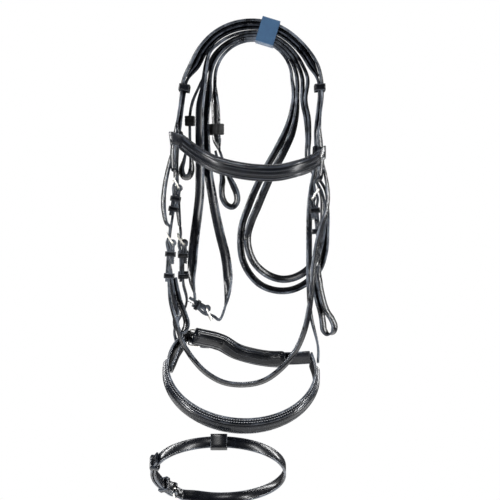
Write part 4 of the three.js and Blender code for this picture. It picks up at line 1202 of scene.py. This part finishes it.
CHIN = Station((-74, 53.5, -403), (-0.62, -0.76, 0.18), (-0.78, 0.62, 0))
CHIN_LINE = [(-39, 85, -415), (-22, 86, -421), (-2, 83, -427), (23, 78, -431), (49, 65, -431), (78, 40, -428)]
CHIN_ACROSS = (0, 0.3, -0.95)
CHIN_PAD_WIDE, CHIN_PAD_THICK = 24, 8
chin_fold = [*chape_fold(CHIN), CHIN.at(-28, LAYER)]
strap(
    "chin_strap_outer", [*chin_fold, *CHIN_LINE], CHAPE_THICK, CHIN_WIDE, "noseband",
    across=[CHIN.wide] * len(chin_fold) + [CHIN_ACROSS] * len(CHIN_LINE), replaced="chin_strap",
    cuts=[chape_cut(CHIN)],
)
chin_path = strap(
    "chin_pad_cushion",
    [
        CHIN.at(26, -11.4), CHIN.at(8, -12), CHIN.at(-22, -12.4), (-42, 72.5, -411),
        *beside(CHIN_LINE[1:-1], CHAPE_THICK / 2 + 3 * GAP + CHIN_PAD_THICK / 2, CHIN_ACROSS),
    ],
    CHIN_PAD_THICK, CHIN_PAD_WIDE, "noseband", across=CHIN_ACROSS, replaced="chin_pad",
    section=padded_section(CHIN_PAD_THICK, CHIN_PAD_WIDE), look=PAD_LEATHER, tips=(4, 7), thin=(0.5, 6),
)
chin_start = [on_ring(a, NOSE_R - r) for a, r in ((184, 5), (174, 9), (162, 9), (150, 7))]
chin_in = billet_through(CHIN, 22)
strap(
    "chin_billet_strap", [*chin_start, *chin_in], CHAPE_THICK, CHIN_WIDE - 2, "noseband",
    across=[RING_ACROSS * -1] * len(chin_start) + [CHIN.wide] * len(chin_in), tips=(6, 0),
    replaced="chin_billet", cuts=[billet_cut(CHIN)],
)
buckle("chin", "", CHIN, CHIN_WIDE, "noseband", "chin_prong")
keeper("chin_keeper", CHIN, -14.5, CHIN_WIDE, "noseband", 6)
chape_stitches("chin_chape_stitching", CHIN, CHIN_WIDE, "noseband", (-18, -11))

# --- Flash ---

FLASH_NEAR = vec(-45.5, -72, -532.4)  # the foremost point of the flash ring's middle line
FLASH_R = 88
flash_tilt = math.radians(-32)
FLASH_BACK = vec(0, math.cos(flash_tilt), math.sin(flash_tilt))
FLASH_BUCKLE_AT, FLASH_TIP_AT = 138, 206


def on_flash(degrees, r=FLASH_R):
    a = math.radians(degrees)
    return FLASH_NEAR + FLASH_BACK * (FLASH_R + r * math.sin(a)) + vec(r * math.cos(a), 0, 0)


def flash_station(degrees, r=FLASH_R):
    here = on_flash(degrees, r)
    return Station(here, on_flash(degrees - 1, r) - here, on_flash(degrees, r + 1) - here)


def flash_arc(start, end, r):
    count = round(abs(end - start) / ARC_STEP)
    return [on_flash(start + (end - start) * i / count, r) for i in range(count + 1)]


FLASH = flash_station(FLASH_BUCKLE_AT, FLASH_R - LAYER)
TAIL_R = FLASH_R + BILLET_N - LAYER + 0.8
strap(
    "flash_strap_long",
    [
        *chape_fold(FLASH), *flash_arc(158, 473, FLASH_R), *billet_through(FLASH, 14)[:-1],
        *flash_arc(152, FLASH_TIP_AT, TAIL_R),
    ],
    CHAPE_THICK, FLASH_WIDE, "flash", across=FLASH.wide, tips=(7, 0), replaced="flash_strap",
    cuts=[chape_cut(FLASH), billet_cut(FLASH)],
)
buckle("flash", "", FLASH, FLASH_WIDE, "flash", "flash_prong")
inner, outer = -CHAPE_THICK / 2 - 1.4, OVER_BILLET - LAYER + 1.6
keeper("flash_keeper", flash_station(150), 0, FLASH_WIDE, "flash", 6, UNDER_TURN_BACK - LAYER, outer)
keeper("flash_runner", flash_station(196), 0, FLASH_WIDE, "flash_runner", 7, inner, outer)
keeper("flash_hanger", flash_station(270), 0, FLASH_WIDE + 0.6, "noseband", 22, -3.9, 3.3)
chape_stitches("flash_chape_stitching", FLASH, FLASH_WIDE, "flash", (-28, -14))

# --- Sewn rows on the padded pieces ---


def padded_rows(name, path, thick, wide, body, look, extra=()):
    """Sewn rows along both welts of a cushion, and any extra ones."""
    welt, end = wide / 2 - 0.85, path.run[-1] - 2
    spots = rows_along(path, (-welt, welt, *extra), lambda y: crown_height(thick, wide, y), 2, end)
    stitches(name, spots, body, look)


def fancy_rows(name, path, thick, wide, body):
    """Fine whip stitching: two rows of short slanted threads laid over the crowned face."""
    spots = []
    for y in (-2.6, 2.6):
        high = crown_height(thick, wide, y)
        slope = (crown_height(thick, wide, y + 0.2) - crown_height(thick, wide, y - 0.2)) / 0.4
        for run in steps(6.0, path.run[-1] - 6, 2.7):
            place, tangent, across, normal = path.frame_at(run)
            slant = unit(tangent * 0.8 + unit(across + normal * slope) * math.copysign(1, y))
            spots.append((place + across * y + normal * (high + 0.1), slant, normal))
    stitches(name, spots, body, DARK_THREAD, (1.55, 0.46))


for prefix, path, thick, wide, look in (
    ("browband", brow_path, BROW_PAD_THICK, BROW_PAD_WIDE, DARK_THREAD),
    ("noseband", nose_path, NOSE_PAD_THICK, NOSE_PAD_WIDE, PALE_THREAD),
):
    padded_rows(f"{prefix}_stitching", path, thick, wide, prefix, look)
    fancy_rows(f"{prefix}_fancy_stitching", path, thick, wide, prefix)
padded_rows("chin_pad_stitching", chin_path, CHIN_PAD_THICK, CHIN_PAD_WIDE, "noseband", DARK_THREAD, (0,))
stitches(
    "noseband_edge_stitching",
    rows_along(front_path, (-12.6, 12.6), -NOSE_BACK / 2, 3, front_path.run[-1] - 3),
    "noseband", PALE_THREAD,
)

# --- Stage and light ---

FLOOR_Z, FLOOR_R = -0.95, 2.2
paper = bpy.data.materials.new("paper")
paper.use_nodes = True
shader = paper.node_tree.nodes["Principled BSDF"]
shader.inputs["Base Color"].default_value = (0.93, 0.93, 0.93, 1)
shader.inputs["Roughness"].default_value = 0.9
rim = [(x / MM, y / MM, FLOOR_Z / MM) for x, y in circle(FLOOR_R, 72)]
floor = make("studio_floor", rim, [tuple(range(len(rim)))], paper)


def area_light(name, place, size, power):
    """A rectangular light aimed at the bridle's middle."""
    data = bpy.data.lights.new(name, "AREA")
    data.shape = "RECTANGLE"
    data.size, data.size_y = size
    data.energy = power
    light = bpy.data.objects.new(name, data)
    light.location = place
    light.rotation_euler = (Vector((0, 0, -0.3)) - Vector(place)).to_track_quat("-Z", "Y").to_euler()
    scene.collection.objects.link(light)


area_light("left_strip", (-1.7, -1.1, 0.2), (0.08, 1.5), 55)
area_light("right_strip", (1.9, -0.6, 0.1), (0.07, 1.5), 50)
area_light("front_top", (-0.4, -1.2, 1.9), (0.9, 0.08), 24)
area_light("back_left", (-1.5, 1.0, 0.3), (0.15, 1.6), 30)
area_light("back_right", (1.5, 1.0, 0.3), (0.15, 1.6), 30)
area_light("over", (0, 0.5, 2.2), (1.4, 0.7), 24)

# The room that lights the bridle is dim, and the background seen behind it is white.
world = bpy.data.worlds.new("world")
world.use_nodes = True
tree = world.node_tree
choose = tree.nodes.new("ShaderNodeMixShader")
tree.links.new(tree.nodes.new("ShaderNodeLightPath").outputs["Is Camera Ray"], choose.inputs[0])
backdrop = tree.nodes.new("ShaderNodeBackground")
for socket, background, strength in (
    (choose.inputs[1], tree.nodes["Background"], 0.045), (choose.inputs[2], backdrop, 1)
):
    background.inputs["Color"].default_value = (1, 1, 1, 1)
    background.inputs["Strength"].default_value = strength
    tree.links.new(background.outputs[0], socket)
tree.links.new(choose.outputs[0], tree.nodes["World Output"].inputs["Surface"])
scene.world = world
